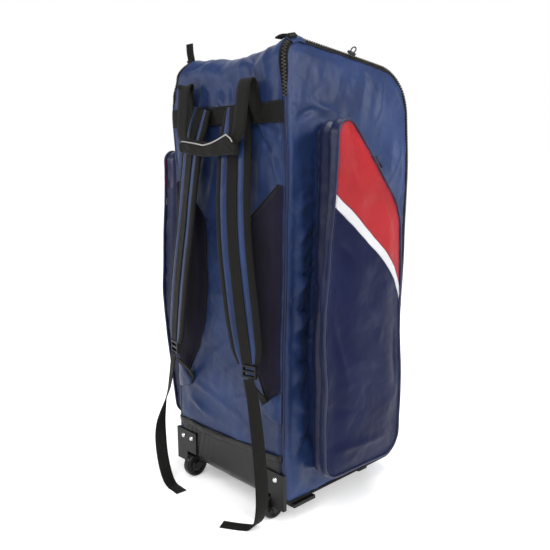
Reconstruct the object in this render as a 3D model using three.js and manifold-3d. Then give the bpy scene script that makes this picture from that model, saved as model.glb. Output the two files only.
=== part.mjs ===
// Wheeled travel bag: a tall soft case that stands on two rear wheels and two front feet.
// Millimetres, +Z up. The straps are on the -Y side, the front is on the +Y side.
import * as THREE from 'three';
import { mergeVertices } from 'three/addons/utils/BufferGeometryUtils.js';
import Module from 'manifold-3d';

const wasm = await Module();
wasm.setup();

// Body of the bag, measured between its planes before the cloth slouches
const bodyWidth = 340;
const bodyDepth = 362;
const baseHeight = 37;
const backTop = 929;
const frontTop = 878;
const backBaseRadius = 25;
const backTopRadius = 42;
const frontTopRadius = 100;
const frontBaseRadius = 40;
const seamRadius = 16;

// Cloth, trim and the gaps between pieces
const clothWall = 2.5;
const vinylWall = 3;
const gap = 0.3;
const seat = 0.95;
const looseSeat = 1.6;
const pocketSeat = 1.3;
const pipingRaise = 4;
const pipingShoulder = 3.4;
const pipingRadius = 2.6;

// Main zip
const zipWidth = 16;
const zipWall = 1.6;
const zipCoilRaise = 1.8;
const zipCoilWidth = 4;
const zipStartDrop = 111;
const frontZipHeight = 92;

// The band and the vinyl foot. bandDrop and zipStartDrop: how far below the top of the back.
const bandDrop = 157;
const bandWidth = 38;
const bandWall = 2.2;
const vinylTop = 134;
const vinylFrontInset = 81;

// Side pockets
const pocketDepth = 80;
const pocketBulge = 7;
const pocketZipWidth = 20;
const pocketZipInset = 13.6;
const stripeWidth = 22;

// Back pads
const padThickness = 8;

// Shoulder straps, their webbing and their loose ends
const strapWidth = 76;
const strapThickness = 10;
const webbingWidth = 25;
const webbingWall = 1.6;
const buckleWidth = 31;
const buckleHeight = 25;
const buckleThickness = 7;
const buckleBar = 4;
const buckleDrop = 2.5;

// Haul handle, and how far its hanging part has swung to the right
const handleWidth = 34;
const handleWebbingWall = 2.4;
const handleSway = 10;
const wrapLength = 164;
const wrapHeight = 38;
const wrapThickness = 14;
const wrapSlant = 10;

// Wheels and the hard parts of the base
const wheelRadius = 27;
const wheelWidth = 20;
const wheelSideInset = 43;
const wheelBackInset = 9;
const hubRadius = 11.3;
const hubDish = 2;
const treadEdge = 3;
const axleRadius = 4;
const axleHeadRadius = 9;
const axleHeadWidth = 3;
const runningGap = 0.8;
const wellClearance = 4;
const wellMargin = 2;
const guardWall = 4;
const guardLow = 33;
const guardHigh = 107;
const guardMargin = 11;
const guardReturn = 8;
const cheekWall = 5;
const cheekReach = 16;
const cheekRadius = 12;
const rivetRadius = 5.5;
const rivetHeight = 2.2;
const rivetInset = 24;
const rivetSpacing = 29;
const rivetDrop = 15;
const skidLength = 60;
const skidWidth = 27;
const skidThickness = 7;
const footLength = 60;
const footDepth = 34;
const footSideInset = 75;
const footFrontInset = 63;
const footRadius = 6;

// Zip sliders and their pulls: cloth tabs on the main zip, a cord loop on top, bars on the pockets
const sliderWidth = 9;
const sliderLength = 15;
const sliderHeight = 5;
const sliderLift = 0.13;
const tabLength = 36;
const tabWidth = 15;
const tabWall = 3;
const loopRadius = 6;
const loopWire = 1.3;
const loopSink = 0.5;
const pullLength = 24;
const pullWidth = 5;
const pullRise = 3;
const pullLap = 2;
const seatProbe = 2;

// How finely the soft pieces are divided
const sideSteps = 9;
const topSteps = 7;
const panelColumns = 8;
const strapSteps = 16;
const tailSteps = 26;
const anchorSteps = 7;
const handleSteps = 36;
const sliderSteps = 5;
const wheelSegments = 20;
const roundSegments = 12;
const wireSegments = 5;
const loopSegments = 10;
const pipeSegments = 6;
const stationMargin = 2;
const pocketSteps = { rear: 3, upperRear: 4, slope: 5, front: 5, bottom: 4 };

const halfWidth = bodyWidth / 2;
const halfDepth = bodyDepth / 2;
const bodyHeight = backTop - baseHeight;
const degree = Math.PI / 180;
const sides = [{ name: 'right', sign: 1 }, { name: 'left', sign: -1 }];

// Where the seams of the edge lie on its quarter round, as angles
const panelEdgeAngle = 36 * degree;
const edgeMiddle = Math.PI / 4;
const zipEdgeAngle = edgeMiddle - zipWidth / 2 / seamRadius;

// The slouch of the filled bag. up: share of the body's height. Other values: shares of its width.
const leanRows = [
  { up: 0.00, shift: -0.024 },
  { up: 0.12, shift: -0.024 },
  { up: 0.30, shift: -0.016 },
  { up: 0.55, shift: 0.008 },
  { up: 0.72, shift: 0.020 },
  { up: 0.88, shift: 0.000 },
  { up: 1.00, shift: 0.000 },
];
const tuckRows = [
  { up: 0.84, left: 0.000, right: 0.000 },
  { up: 0.90, left: 0.022, right: 0.000 },
  { up: 0.95, left: 0.062, right: 0.006 },
  { up: 1.00, left: 0.125, right: 0.022 },
];
// The top sinks from this share of the body's height up, fully after the span
const sagOnset = { up: 0.84, span: 0.14 };
// A dent reaches from its face to this share of the half width or depth, fading over the span
const dentOnset = { out: 0.6, span: 0.35 };
// How far the top sinks between its seams. across: share of the half width.
const sagRows = [
  { across: -1.00, drop: 0.040 },
  { across: -0.72, drop: 0.058 },
  { across: -0.38, drop: 0.046 },
  { across: -0.11, drop: 0.088 },
  { across: 0.10, drop: 0.080 },
  { across: 0.32, drop: 0.050 },
  { across: 0.58, drop: 0.066 },
  { across: 0.76, drop: 0.036 },
  { across: 0.97, drop: 0.004 },
  { across: 1.00, drop: 0.000 },
];
// Bulges and dents of the panels. along: share of the half depth on the sides, of the half width on
// the back and the front. push, alongSpan and upSpan: how far out, and how wide and tall.
const dentRows = [
  { face: 'right', along: 0.00, up: 0.86, push: 0.026, alongSpan: 0.75, upSpan: 0.10 },
  { face: 'left', along: 0.00, up: 0.86, push: 0.030, alongSpan: 0.75, upSpan: 0.10 },
  { face: 'right', along: -0.68, up: 0.45, push: -0.020, alongSpan: 0.15, upSpan: 0.26 },
  { face: 'left', along: -0.68, up: 0.45, push: -0.016, alongSpan: 0.15, upSpan: 0.26 },
  { face: 'right', along: -0.80, up: 0.30, push: 0.010, alongSpan: 0.12, upSpan: 0.05 },
  { face: 'right', along: 0.40, up: 0.20, push: 0.016, alongSpan: 0.45, upSpan: 0.14 },
  { face: 'left', along: 0.40, up: 0.20, push: 0.016, alongSpan: 0.45, upSpan: 0.14 },
  { face: 'front', along: 0.00, up: 0.45, push: 0.040, alongSpan: 0.62, upSpan: 0.30 },
  { face: 'front', along: 0.25, up: 0.72, push: -0.018, alongSpan: 0.34, upSpan: 0.05 },
  { face: 'front', along: -0.30, up: 0.24, push: -0.014, alongSpan: 0.30, upSpan: 0.05 },
  { face: 'back', along: -0.05, up: 0.30, push: 0.014, alongSpan: 0.30, upSpan: 0.10 },
  { face: 'back', along: 0.05, up: 0.17, push: -0.010, alongSpan: 0.45, upSpan: 0.04 },
  { face: 'back', along: -0.10, up: 0.93, push: -0.020, alongSpan: 0.40, upSpan: 0.04 },
];

// Outline of a side pocket where it is sewn to the side (root) and at its outer panel (face).
// forward: share of the half depth. up: share of the body's height. Radii: shares of the depth.
// sink: share of the pocket's own sinking at that corner.
const pocketRows = [
  { corner: 'rear base', sink: 0, rootForward: -0.53, rootUp: 0.056, rootRadius: 0.07,
    faceForward: -0.74, faceUp: 0.076, faceRadius: 0.09 },
  { corner: 'rear swell', sink: 0.4, rootForward: -0.54, rootUp: 0.44, rootRadius: 0.8,
    faceForward: -0.87, faceUp: 0.44, faceRadius: 0.8 },
  { corner: 'apex', sink: 1, rootForward: -0.56, rootUp: 0.862, rootRadius: 0.06,
    faceForward: -0.72, faceUp: 0.860, faceRadius: 0.06 },
  { corner: 'shoulder', sink: 0.45, rootForward: 0.40, rootUp: 0.640, rootRadius: 0.33,
    faceForward: 0.25, faceUp: 0.640, faceRadius: 0.33 },
  { corner: 'front base', sink: 0, rootForward: 0.58, rootUp: 0.056, rootRadius: 0.08,
    faceForward: 0.46, faceUp: 0.072, faceRadius: 0.11 },
];
// How far each pocket's filling has sunk at its apex
const pocketSink = { right: 0, left: 56 };
// Depth of each pocket by height, and the folds of its wall from root (0) to face (1)
const pocketDepthRows = [
  { up: 0.05, right: 0.86, left: 0.88 },
  { up: 0.35, right: 0.98, left: 1.04 },
  { up: 0.62, right: 1.01, left: 1.18 },
  { up: 0.76, right: 1.02, left: 1.26 },
  { up: 0.85, right: 1.03, left: 1.22 },
];
const gussetRows = [
  { out: 0.00, swell: 0.00 },
  { out: 0.22, swell: 0.06 },
  { out: 0.48, swell: -0.07 },
  { out: 0.76, swell: 0.05 },
  { out: 1.00, swell: 0.00 },
];
// Edges of a pocket's outline, each counted by the corner it starts from
const edgeFrom = (name) => pocketRows.findIndex(({ corner }) => corner === name);
const pocketEdge = { rear: edgeFrom('rear swell'), apex: edgeFrom('apex'), front: edgeFrom('shoulder') };
// Where its zip and its two sliders lie, in edges onward from the apex
const pocketZipSpan = { from: 0.02, to: 1.9 };
const pocketSliderPlaces = [
  { label: 'upper', onward: 0.5 },
  { label: 'lower', onward: 1.35 },
];
// How soon the face is full, as a share of the pocket's depth, and how finely it is divided
const faceRounding = 0.7;
const faceColumns = 7;
const heightSteps = 200;
// The stripe sinks by this share of its pocket's sinking
const stripeSink = 0.4;
// Middle of the stripe from the rear edge (0) to the front edge (1) of the pocket's face.
// width: share of the stripe's width there.
const stripeRows = [
  { along: 0.00, up: 0.674, width: 1.0 },
  { along: 0.25, up: 0.626, width: 1.0 },
  { along: 0.65, up: 0.551, width: 1.0 },
  { along: 0.84, up: 0.508, width: 1.05 },
  { along: 0.95, up: 0.474, width: 1.1 },
  { along: 1.00, up: 0.454, width: 1.15 },
];

// Edges of a back pad. up: share of the body's height. inner, outer: shares of the half width.
const padRows = [
  { up: 0.236, inner: 0.75, outer: 0.77 },
  { up: 0.250, inner: 0.72, outer: 0.84 },
  { up: 0.260, inner: 0.70, outer: 0.90 },
  { up: 0.268, inner: 0.68, outer: 0.936 },
  { up: 0.283, inner: 0.64, outer: 0.936 },
  { up: 0.305, inner: 0.55, outer: 0.936 },
  { up: 0.335, inner: 0.46, outer: 0.936 },
  { up: 0.380, inner: 0.405, outer: 0.936 },
  { up: 0.440, inner: 0.36, outer: 0.936 },
  { up: 0.500, inner: 0.36, outer: 0.936 },
  { up: 0.580, inner: 0.38, outer: 0.936 },
  { up: 0.625, inner: 0.43, outer: 0.936 },
  { up: 0.655, inner: 0.62, outer: 0.936 },
  { up: 0.700, inner: 0.895, outer: 0.936 },
];
// Section of a pad. across: share of the way to its outer edge. swell: share of its thickness.
const padSections = [
  { across: 0.00, swell: 0.35, under: seat },
  { across: 0.18, swell: 0.85, under: looseSeat },
  { across: 0.60, swell: 1.00, under: looseSeat },
  { across: 0.95, swell: 0.80, under: looseSeat },
  { across: 1.00, swell: 0.30, under: seat },
];

// Middle line of a shoulder strap. out: share of the half width. off: distance behind the back panel
// as a share of the half width. up: share of the body's height. turn: degrees towards the side.
// width: share of the strap's width.
const strapRows = [
  { out: 0.300, off: 0.053, up: 0.862, turn: 0, width: 0.72 },
  { out: 0.345, off: 0.100, up: 0.822, turn: 5, width: 0.92 },
  { out: 0.380, off: 0.155, up: 0.771, turn: 9, width: 1.00 },
  { out: 0.412, off: 0.215, up: 0.667, turn: 12, width: 1.00 },
  { out: 0.465, off: 0.250, up: 0.581, turn: 12, width: 1.00 },
  { out: 0.530, off: 0.268, up: 0.508, turn: 12, width: 1.00 },
  { out: 0.595, off: 0.274, up: 0.429, turn: 12, width: 1.00 },
  { out: 0.655, off: 0.270, up: 0.362, turn: 12, width: 0.90 },
  { out: 0.680, off: 0.262, up: 0.330, turn: 12, width: 0.66 },
];
// Loose ends of the strap webbing, from the buckle down to the floor and along it.
// out, off: shares of the half width. up: share of the height where the strap ends. turn: degrees.
const tailRows = {
  right: [
    { out: 0.705, off: 0.290, up: 0.914, turn: 12 },
    { out: 0.755, off: 0.275, up: 0.800, turn: 24 },
    { out: 0.805, off: 0.262, up: 0.600, turn: 38 },
    { out: 0.845, off: 0.256, up: 0.400, turn: 46 },
    { out: 0.868, off: 0.256, up: 0.245, turn: 56 },
    { out: 0.860, off: 0.262, up: 0.140, turn: 72 },
    { out: 0.815, off: 0.276, up: 0.056, turn: 92 },
    { out: 0.735, off: 0.302, up: 0.013, turn: 109 },
    { out: 0.650, off: 0.352, up: 0.005, turn: 119 },
    { out: 0.540, off: 0.424, up: 0.005, turn: 122 },
    { out: 0.425, off: 0.490, up: 0.005, turn: 121 },
  ],
  left: [
    { out: 0.705, off: 0.290, up: 0.914, turn: -12 },
    { out: 0.790, off: 0.312, up: 0.700, turn: -24 },
    { out: 0.900, off: 0.324, up: 0.560, turn: -48 },
    { out: 0.985, off: 0.334, up: 0.420, turn: -86 },
    { out: 1.000, off: 0.340, up: 0.300, turn: -116 },
    { out: 0.975, off: 0.344, up: 0.190, turn: -124 },
    { out: 0.915, off: 0.348, up: 0.095, turn: -116 },
    { out: 0.835, off: 0.354, up: 0.032, turn: -102 },
    { out: 0.740, off: 0.362, up: 0.006, turn: -92 },
    { out: 0.640, off: 0.370, up: 0.005, turn: -90 },
    { out: 0.520, off: 0.378, up: 0.005, turn: -90 },
  ],
};
// Webbing from the buckle to the wing that is sewn into the side seam.
// turn: degrees from level to upright. width: share of the webbing's width.
const anchorRows = [
  { out: 0.700, off: 0.250, up: 0.2840, turn: 0, width: 1.00 },
  { out: 0.690, off: 0.150, up: 0.2620, turn: 0, width: 1.00 },
  { out: 0.685, off: 0.075, up: 0.2460, turn: 6, width: 0.95 },
  { out: 0.695, off: 0.036, up: 0.2315, turn: 26, width: 0.80 },
  { out: 0.735, off: 0.029, up: 0.2225, turn: 58, width: 0.80 },
  { out: 0.785, off: 0.026, up: 0.2190, turn: 84, width: 0.95 },
  { out: 0.850, off: 0.024, up: 0.2195, turn: 90, width: 1.35 },
  { out: 0.925, off: 0.022, up: 0.2215, turn: 90, width: 2.10 },
];
// Right half of the haul handle's webbing, from the band up, over and down into the wrap.
// width: share of the webbing's width, folded in the wrap. sway: share of the handle's swing.
const handleRows = [
  { out: 0.575, off: 0.030, up: 0.846, turn: 0, width: 1.00, sway: 0 },
  { out: 0.572, off: 0.040, up: 0.880, turn: 0, width: 1.00, sway: 0.05 },
  { out: 0.560, off: 0.080, up: 0.906, turn: 0, width: 1.00, sway: 0.3 },
  { out: 0.540, off: 0.130, up: 0.911, turn: 0, width: 1.00, sway: 0.6 },
  { out: 0.525, off: 0.178, up: 0.894, turn: 0, width: 1.00, sway: 0.85 },
  { out: 0.515, off: 0.212, up: 0.853, turn: 0, width: 1.00, sway: 1 },
  { out: 0.505, off: 0.238, up: 0.816, turn: 18, width: 1.00, sway: 1 },
  { out: 0.450, off: 0.252, up: 0.794, turn: 62, width: 0.68, sway: 1 },
  { out: 0.350, off: 0.258, up: 0.784, turn: 86, width: 0.68, sway: 1 },
  { out: 0.000, off: 0.262, up: 0.776, turn: 90, width: 0.68, sway: 1 },
];

// Colours and finishes
const finishes = {
  navy: { color: 0x2d3a6b, roughness: 0.62, metalness: 0 },
  red: { color: 0xb32530, roughness: 0.6, metalness: 0 },
  white: { color: 0xe6e6e6, roughness: 0.55, metalness: 0 },
  mesh: { color: 0x1a1826, roughness: 0.9, metalness: 0 },
  webbing: { color: 0x24231f, roughness: 0.75, metalness: 0 },
  vinyl: { color: 0x2b2b2c, roughness: 0.45, metalness: 0 },
  plastic: { color: 0x141414, roughness: 0.4, metalness: 0 },
  wheel: { color: 0x0c0c0c, roughness: 0.25, metalness: 0 },
  steel: { color: 0xc8c8c8, roughness: 0.25, metalness: 0.9 },
};

const group = new THREE.Group();

function add(name, geometry, finish) {
  const mesh = new THREE.Mesh(geometry, new THREE.MeshStandardMaterial(finishes[finish]));
  mesh.name = name;
  group.add(mesh);
}

// Reads a column of a table at a key: in straight lines, or easing from row to row
function columnAt(rows, keyName, valueName, key, eased = false) {
  const last = rows.length - 1;
  if (key <= rows[0][keyName]) return rows[0][valueName];
  if (key >= rows[last][keyName]) return rows[last][valueName];
  const next = rows.findIndex((row) => row[keyName] > key);
  const from = rows[next - 1];
  const to = rows[next];
  const share = (key - from[keyName]) / (to[keyName] - from[keyName]);
  return mix(from[valueName], to[valueName], eased ? ease(share) : share);
}

function easedAt(rows, keyName, valueName, key) {
  return columnAt(rows, keyName, valueName, key, true);
}

function ease(share) {
  const held = Math.min(1, Math.max(0, share));
  return held * held * (3 - 2 * held);
}

function bell(offset, span) {
  return Math.exp(-(offset / span) * (offset / span));
}

// Moves a point of the straight bag to its place on the filled, slouching one
function slouch(point) {
  const across = point.x / halfWidth;
  const along = point.y / halfDepth;
  const up = (point.z - baseHeight) / bodyHeight;
  const tuck = easedAt(tuckRows, 'up', across < 0 ? 'left' : 'right', up);
  const sag = easedAt(sagRows, 'across', 'drop', across) * ease((up - sagOnset.up) / sagOnset.span);
  const near = {
    right: ease((across - dentOnset.out) / dentOnset.span),
    left: ease((-across - dentOnset.out) / dentOnset.span),
    back: ease((-along - dentOnset.out) / dentOnset.span),
    front: ease((along - dentOnset.out) / dentOnset.span),
  };
  const out = { right: 0, left: 0, back: 0, front: 0 };
  for (const dent of dentRows) {
    const where = dent.face === 'right' || dent.face === 'left' ? along : across;
    const reach = bell(where - dent.along, dent.alongSpan) * bell(up - dent.up, dent.upSpan);
    out[dent.face] += dent.push * reach * near[dent.face];
  }
  return new THREE.Vector3(
    point.x + bodyWidth * (easedAt(leanRows, 'up', 'shift', up) - across * tuck + out.right - out.left),
    point.y + bodyWidth * (out.front - out.back),
    point.z - bodyWidth * sag,
  );
}

// An outline with round corners, walked clockwise seen from +X, from the middle of the first corner
function roundedOutline(corners) {
  const count = corners.length;
  const bends = corners.map((corner, i) => {
    const before = corners[(i + count - 1) % count];
    const after = corners[(i + 1) % count];
    const into = new THREE.Vector2(corner.y - before.y, corner.z - before.z).normalize();
    const onward = new THREE.Vector2(after.y - corner.y, after.z - corner.z);
    const span = onward.length();
    onward.normalize();
    const turn = Math.acos(Math.min(1, into.dot(onward)));
    const tangent = corner.r * Math.tan(turn / 2);
    const start = new THREE.Vector2(corner.y, corner.z).addScaledVector(into, -tangent);
    const end = new THREE.Vector2(corner.y, corner.z).addScaledVector(onward, tangent);
    const normal = new THREE.Vector2(-into.y, into.x);
    const centre = start.clone().addScaledVector(normal, -corner.r);
    return { ...corner, onward, span, turn, tangent, end, normal, centre };
  });
  const walks = [];
  const middles = [0];
  const lineStarts = [];
  let length = 0;
  const push = (walk) => {
    walks.push({ ...walk, start: length });
    length += walk.length;
  };
  bends.forEach((bend, i) => {
    const next = bends[(i + 1) % count];
    const halfArc = bend.r * bend.turn / 2;
    push({ bend, length: halfArc, from: bend.turn / 2 });
    lineStarts.push(length);
    push({ line: bend, length: bend.span - bend.tangent - next.tangent });
    push({ bend: next, length: next.r * next.turn / 2, from: 0 });
    middles.push(length);
  });
  const at = (s, offset = 0) => {
    const place = ((s % length) + length) % length;
    const walk = walks.findLast((item) => item.start <= place);
    const gone = place - walk.start;
    if (walk.line) {
      const { end, onward } = walk.line;
      const point = end.clone().addScaledVector(onward, gone);
      const normal = new THREE.Vector2(-onward.y, onward.x);
      return { y: point.x + normal.x * offset, z: point.y + normal.y * offset };
    }
    const { normal, centre, r } = walk.bend;
    const angle = -(walk.from + gone / r);
    const spoke = normal.clone().rotateAround(new THREE.Vector2(), angle);
    return { y: centre.x + spoke.x * (r + offset), z: centre.y + spoke.y * (r + offset) };
  };
  // Place on the straight after a corner, as a share of the way between the sharp corners
  const on = (edge, share) => lineStarts[edge] + share * bends[edge].span - bends[edge].tangent;
  return { length, middles, at, on, bends, lineStarts };
}

// Shares from 0 to 1 that crowd towards both ends
function clustered(count) {
  return Array.from({ length: count + 1 }, (_, i) => (1 - Math.cos(Math.PI * i / count)) / 2);
}

function even(count) {
  return Array.from({ length: count + 1 }, (_, i) => i / count);
}

function mix(a, b, share) {
  return a + (b - a) * share;
}

// Turns a list of positions and triangles into a closed geometry whose faces point out
function solid(points, faces) {
  let volume = 0;
  for (const [a, b, c] of faces) {
    volume += points[a].dot(points[b].clone().cross(points[c]));
  }
  const index = faces.flatMap(([a, b, c]) => (volume < 0 ? [a, c, b] : [a, b, c]));
  const geometry = new THREE.BufferGeometry();
  geometry.setAttribute('position', new THREE.Float32BufferAttribute(points.flatMap((p) => p.toArray()), 3));
  geometry.setIndex(index);
  return geometry;
}

// Gives a surface a thickness: two skins, joined along every open edge
function thicken(outer, inner, faces) {
  const count = outer.length;
  const edges = new Map();
  for (const [a, b, c] of faces) {
    for (const [from, to] of [[a, b], [b, c], [c, a]]) {
      const key = `${Math.min(from, to)} ${Math.max(from, to)}`;
      edges.set(key, edges.has(key) ? null : [from, to]);
    }
  }
  const walls = [...edges.values()].filter(Boolean).flatMap(([from, to]) => [
    [to, from, from + count],
    [to, from + count, to + count],
  ]);
  const back = faces.map(([a, b, c]) => [a + count, c + count, b + count]);
  return solid([...outer, ...inner], [...faces, ...back, ...walls]);
}

function gridFaces(rows, columns) {
  const faces = [];
  for (let i = 0; i + 1 < rows; i += 1) {
    for (let j = 0; j + 1 < columns; j += 1) {
      const a = i * columns + j;
      const b = a + columns;
      faces.push([a, b, b + 1], [a, b + 1, a + 1]);
    }
  }
  return faces;
}

// A patch with a thickness over two lists of values; point(u, v, depth) with depth 0 outside, 1 inside
function thickPatch(us, vs, point) {
  const skin = (depth) => us.flatMap((u) => vs.map((v) => point(u, v, depth)));
  return thicken(skin(0), skin(1), gridFaces(us.length, vs.length));
}

// A solid through rings of points, capped at both ends or closed round
function loft(rings, closed = false) {
  const size = rings[0].length;
  const faces = [];
  const last = closed ? rings.length : rings.length - 1;
  for (let i = 0; i < last; i += 1) {
    const next = (i + 1) % rings.length;
    for (let j = 0; j < size; j += 1) {
      const k = (j + 1) % size;
      const corners = [i * size + j, next * size + j, next * size + k, i * size + k];
      faces.push([corners[0], corners[1], corners[2]], [corners[0], corners[2], corners[3]]);
    }
  }
  if (!closed) {
    const tail = (rings.length - 1) * size;
    for (let j = 1; j + 1 < size; j += 1) {
      faces.push([0, j, j + 1], [tail, tail + j + 1, tail + j]);
    }
  }
  return solid(rings.flat(), faces);
}

function toManifold(geometry) {
  const bare = geometry.clone();
  for (const name of Object.keys(bare.attributes)) {
    if (name !== 'position') bare.deleteAttribute(name);
  }
  const merged = mergeVertices(bare, 1e-4);
  return new wasm.Manifold(new wasm.Mesh({
    numProp: 3,
    vertProperties: new Float32Array(merged.attributes.position.array),
    triVerts: new Uint32Array(merged.index.array),
  }));
}

function fromManifold(manifold) {
  const mesh = manifold.getMesh();
  const geometry = new THREE.BufferGeometry();
  geometry.setAttribute('position', new THREE.BufferAttribute(new Float32Array(mesh.vertProperties), 3));
  geometry.setIndex(new THREE.BufferAttribute(new Uint32Array(mesh.triVerts), 1));
  return geometry;
}

function join(...geometries) {
  return fromManifold(geometries.map(toManifold).reduce((whole, piece) => whole.add(piece)));
}

function cut(geometry, ...cutters) {
  return fromManifold(cutters.map(toManifold).reduce((whole, piece) => whole.subtract(piece), toManifold(geometry)));
}

function box(low, high) {
  const size = new THREE.Vector3().subVectors(high, low);
  const middle = new THREE.Vector3().addVectors(high, low).multiplyScalar(0.5);
  return new THREE.BoxGeometry(size.x, size.y, size.z).translate(middle.x, middle.y, middle.z);
}

// The same box on either side of the middle: out runs away from the middle plane
function sideBox(sign, out, forward, up) {
  const low = new THREE.Vector3(Math.min(sign * out[0], sign * out[1]), forward[0], up[0]);
  const high = new THREE.Vector3(Math.max(sign * out[0], sign * out[1]), forward[1], up[1]);
  return box(low, high);
}

function rodX(radius, from, to, y, z) {
  return new THREE.CylinderGeometry(radius, radius, Math.abs(to - from), roundSegments)
    .rotateZ(Math.PI / 2)
    .translate((from + to) / 2, y, z);
}

const profile = roundedOutline([
  { y: -halfDepth, z: baseHeight, r: backBaseRadius },
  { y: -halfDepth, z: backTop, r: backTopRadius },
  { y: halfDepth, z: frontTop, r: frontTopRadius },
  { y: halfDepth, z: baseHeight, r: frontBaseRadius },
]);
const backAt = (z) => profile.on(0, (z - baseHeight) / bodyHeight);
const frontAt = (z) => profile.on(2, (frontTop - z) / (frontTop - baseHeight));
const underAt = (y) => profile.on(3, (halfDepth - y) / bodyDepth);
const edgeSteps = [sideSteps, topSteps, sideSteps, topSteps];
const stations = edgeSteps.flatMap((count, edge) => clustered(count).slice(0, -1)
  .map((share) => mix(profile.middles[edge], profile.middles[edge + 1], share)));
const turns = [...stations, ...stations.map((s) => s + profile.length)];

function stationsBetween(from, to) {
  return [from, ...turns.filter((s) => s > from + stationMargin && s < to - stationMargin), to];
}

// The cloth that goes round the bag is cut into a grid: stations along it, and reaches across it,
// which are distances from the middle plane along the cloth, running on round the edge
const flatReach = halfWidth - seamRadius;
const panelReach = flatReach + seamRadius * panelEdgeAngle;
const seamReach = flatReach + seamRadius * panelEdgeAngle / 2;
const reaches = [
  -panelReach,
  ...even(panelColumns).map((share) => mix(-flatReach, flatReach, share)),
  panelReach,
];

// Point on the facets of that cloth. lift: height above it.
function clothPoint(s, reach, lift) {
  const onGrid = (station, column) => {
    const over = Math.abs(column) - flatReach;
    if (over > 0) return edgeCurve(Math.sign(column), station, over / seamRadius, lift);
    const { y, z } = profile.at(station, lift);
    return slouch(new THREE.Vector3(column, y, z));
  };
  const [s0, s1, along] = bracket(turns, s);
  const [r0, r1, across] = bracket(reaches, reach);
  const near = onGrid(s0, r0).lerp(onGrid(s0, r1), across);
  const far = onGrid(s1, r0).lerp(onGrid(s1, r1), across);
  return near.lerp(far, along);
}

// The neighbours of a value in a rising list, and its share of the way between them
function bracket(list, value) {
  const last = list.length - 1;
  const next = value >= list[last] ? last : Math.max(1, list.findIndex((item) => item > value));
  const from = list[next - 1];
  const to = list[next];
  return [from, to, (value - from) / (to - from)];
}

// Point on the quarter round of an edge. angle: 0 at the band of cloth, 90 degrees at the side panel.
function edgeCurve(sign, s, angle, lift) {
  const reach = seamRadius + lift;
  const { y, z } = profile.at(s, -seamRadius + reach * Math.cos(angle));
  return slouch(new THREE.Vector3(sign * (halfWidth - seamRadius + reach * Math.sin(angle)), y, z));
}

function edgePoint(sign, s, angle, lift) {
  const [s0, s1, along] = bracket(turns, s);
  return edgeCurve(sign, s0, angle, lift).lerp(edgeCurve(sign, s1, angle, lift), along);
}

// Cloth that goes round the bag: the back, the lid with the front, the base and the vinyl foot
function roundPanel(from, to, wall) {
  return thickPatch(
    stationsBetween(from + gap / 2, to - gap / 2),
    reaches,
    (s, reach, depth) => clothPoint(s, reach, -depth * wall),
  );
}

const bandLow = backTop - bandDrop;
const bandMiddle = bandLow + bandWidth / 2;
const vinylEdge = underAt(halfDepth - vinylFrontInset);
const frontZipLow = frontZipHeight - zipWidth / 2;
const frontZipHigh = frontZipHeight + zipWidth / 2;

function addRoundPanels(wells) {
  add('back_panel', roundPanel(backAt(vinylTop), backAt(bandMiddle), clothWall), 'navy');
  add('lid_panel', roundPanel(backAt(bandMiddle), frontAt(frontZipHigh), clothWall), 'navy');
  add('base_panel', roundPanel(frontAt(frontZipLow), vinylEdge, clothWall), 'navy');
  const vinyl = roundPanel(vinylEdge, profile.length + backAt(vinylTop), vinylWall);
  add('base_vinyl', cut(vinyl, ...wells), 'vinyl');
}

// A side of the bag: a rim that comes round from the edge, and the flat field inside it
const field = sideField();

function sideField() {
  const count = stations.length;
  const inset = (s) => profile.at(s, -seamRadius);
  return coonsField(
    edgeSteps[1],
    edgeSteps[0],
    (k) => inset(stations[(count - k) % count]),
    (k) => inset(stations[edgeSteps[0] + k]),
    (k) => inset(stations[k]),
    (k) => inset(stations[edgeSteps[0] + edgeSteps[1] + edgeSteps[2] - k]),
  );
}

// Point on the facets of a side panel, a height above it
function sidePoint(sign, y, z, lift) {
  const corners = (face) => face.map((index) => {
    const { y: cornerY, z: cornerZ } = field.points[index];
    return new THREE.Vector3(sign * (halfWidth + lift), cornerY, cornerZ);
  });
  const place = new THREE.Vector3(sign * (halfWidth + lift), y, z);
  const shares = new THREE.Vector3();
  const face = field.faces.find((item) => {
    THREE.Triangle.getBarycoord(place, ...corners(item), shares);
    return Math.min(shares.x, shares.y, shares.z) > -1e-6;
  });
  const [a, b, c] = corners(face).map(slouch);
  return a.multiplyScalar(shares.x).addScaledVector(b, shares.y).addScaledVector(c, shares.z);
}

function addSidePanel({ name, sign }) {
  const count = stations.length;
  const rimAngles = [Math.PI / 2 - panelEdgeAngle, Math.PI / 2 - panelEdgeAngle / 2];
  const skin = (depth) => {
    const rims = rimAngles.flatMap((angle) => stations.map((s) => edgePoint(sign, s, angle, -depth * clothWall)));
    const middle = field.points.map(({ y, z }) => slouch(
      new THREE.Vector3(sign * (halfWidth - depth * clothWall), y, z),
    ));
    return [...rims, ...middle];
  };
  const fieldStart = count * rimAngles.length;
  const ring = (level, k) => (level < rimAngles.length
    ? level * count + (k % count)
    : fieldStart + field.border[k % count]);
  const faces = field.faces.map((face) => face.map((index) => index + fieldStart));
  for (let level = 0; level < rimAngles.length; level += 1) {
    for (let k = 0; k < count; k += 1) {
      faces.push([ring(level, k), ring(level + 1, k + 1), ring(level + 1, k)]);
      faces.push([ring(level, k), ring(level, k + 1), ring(level + 1, k + 1)]);
    }
  }
  add(`side_panel_${name}`, thicken(skin(0), skin(1), faces), 'navy');
}

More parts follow.
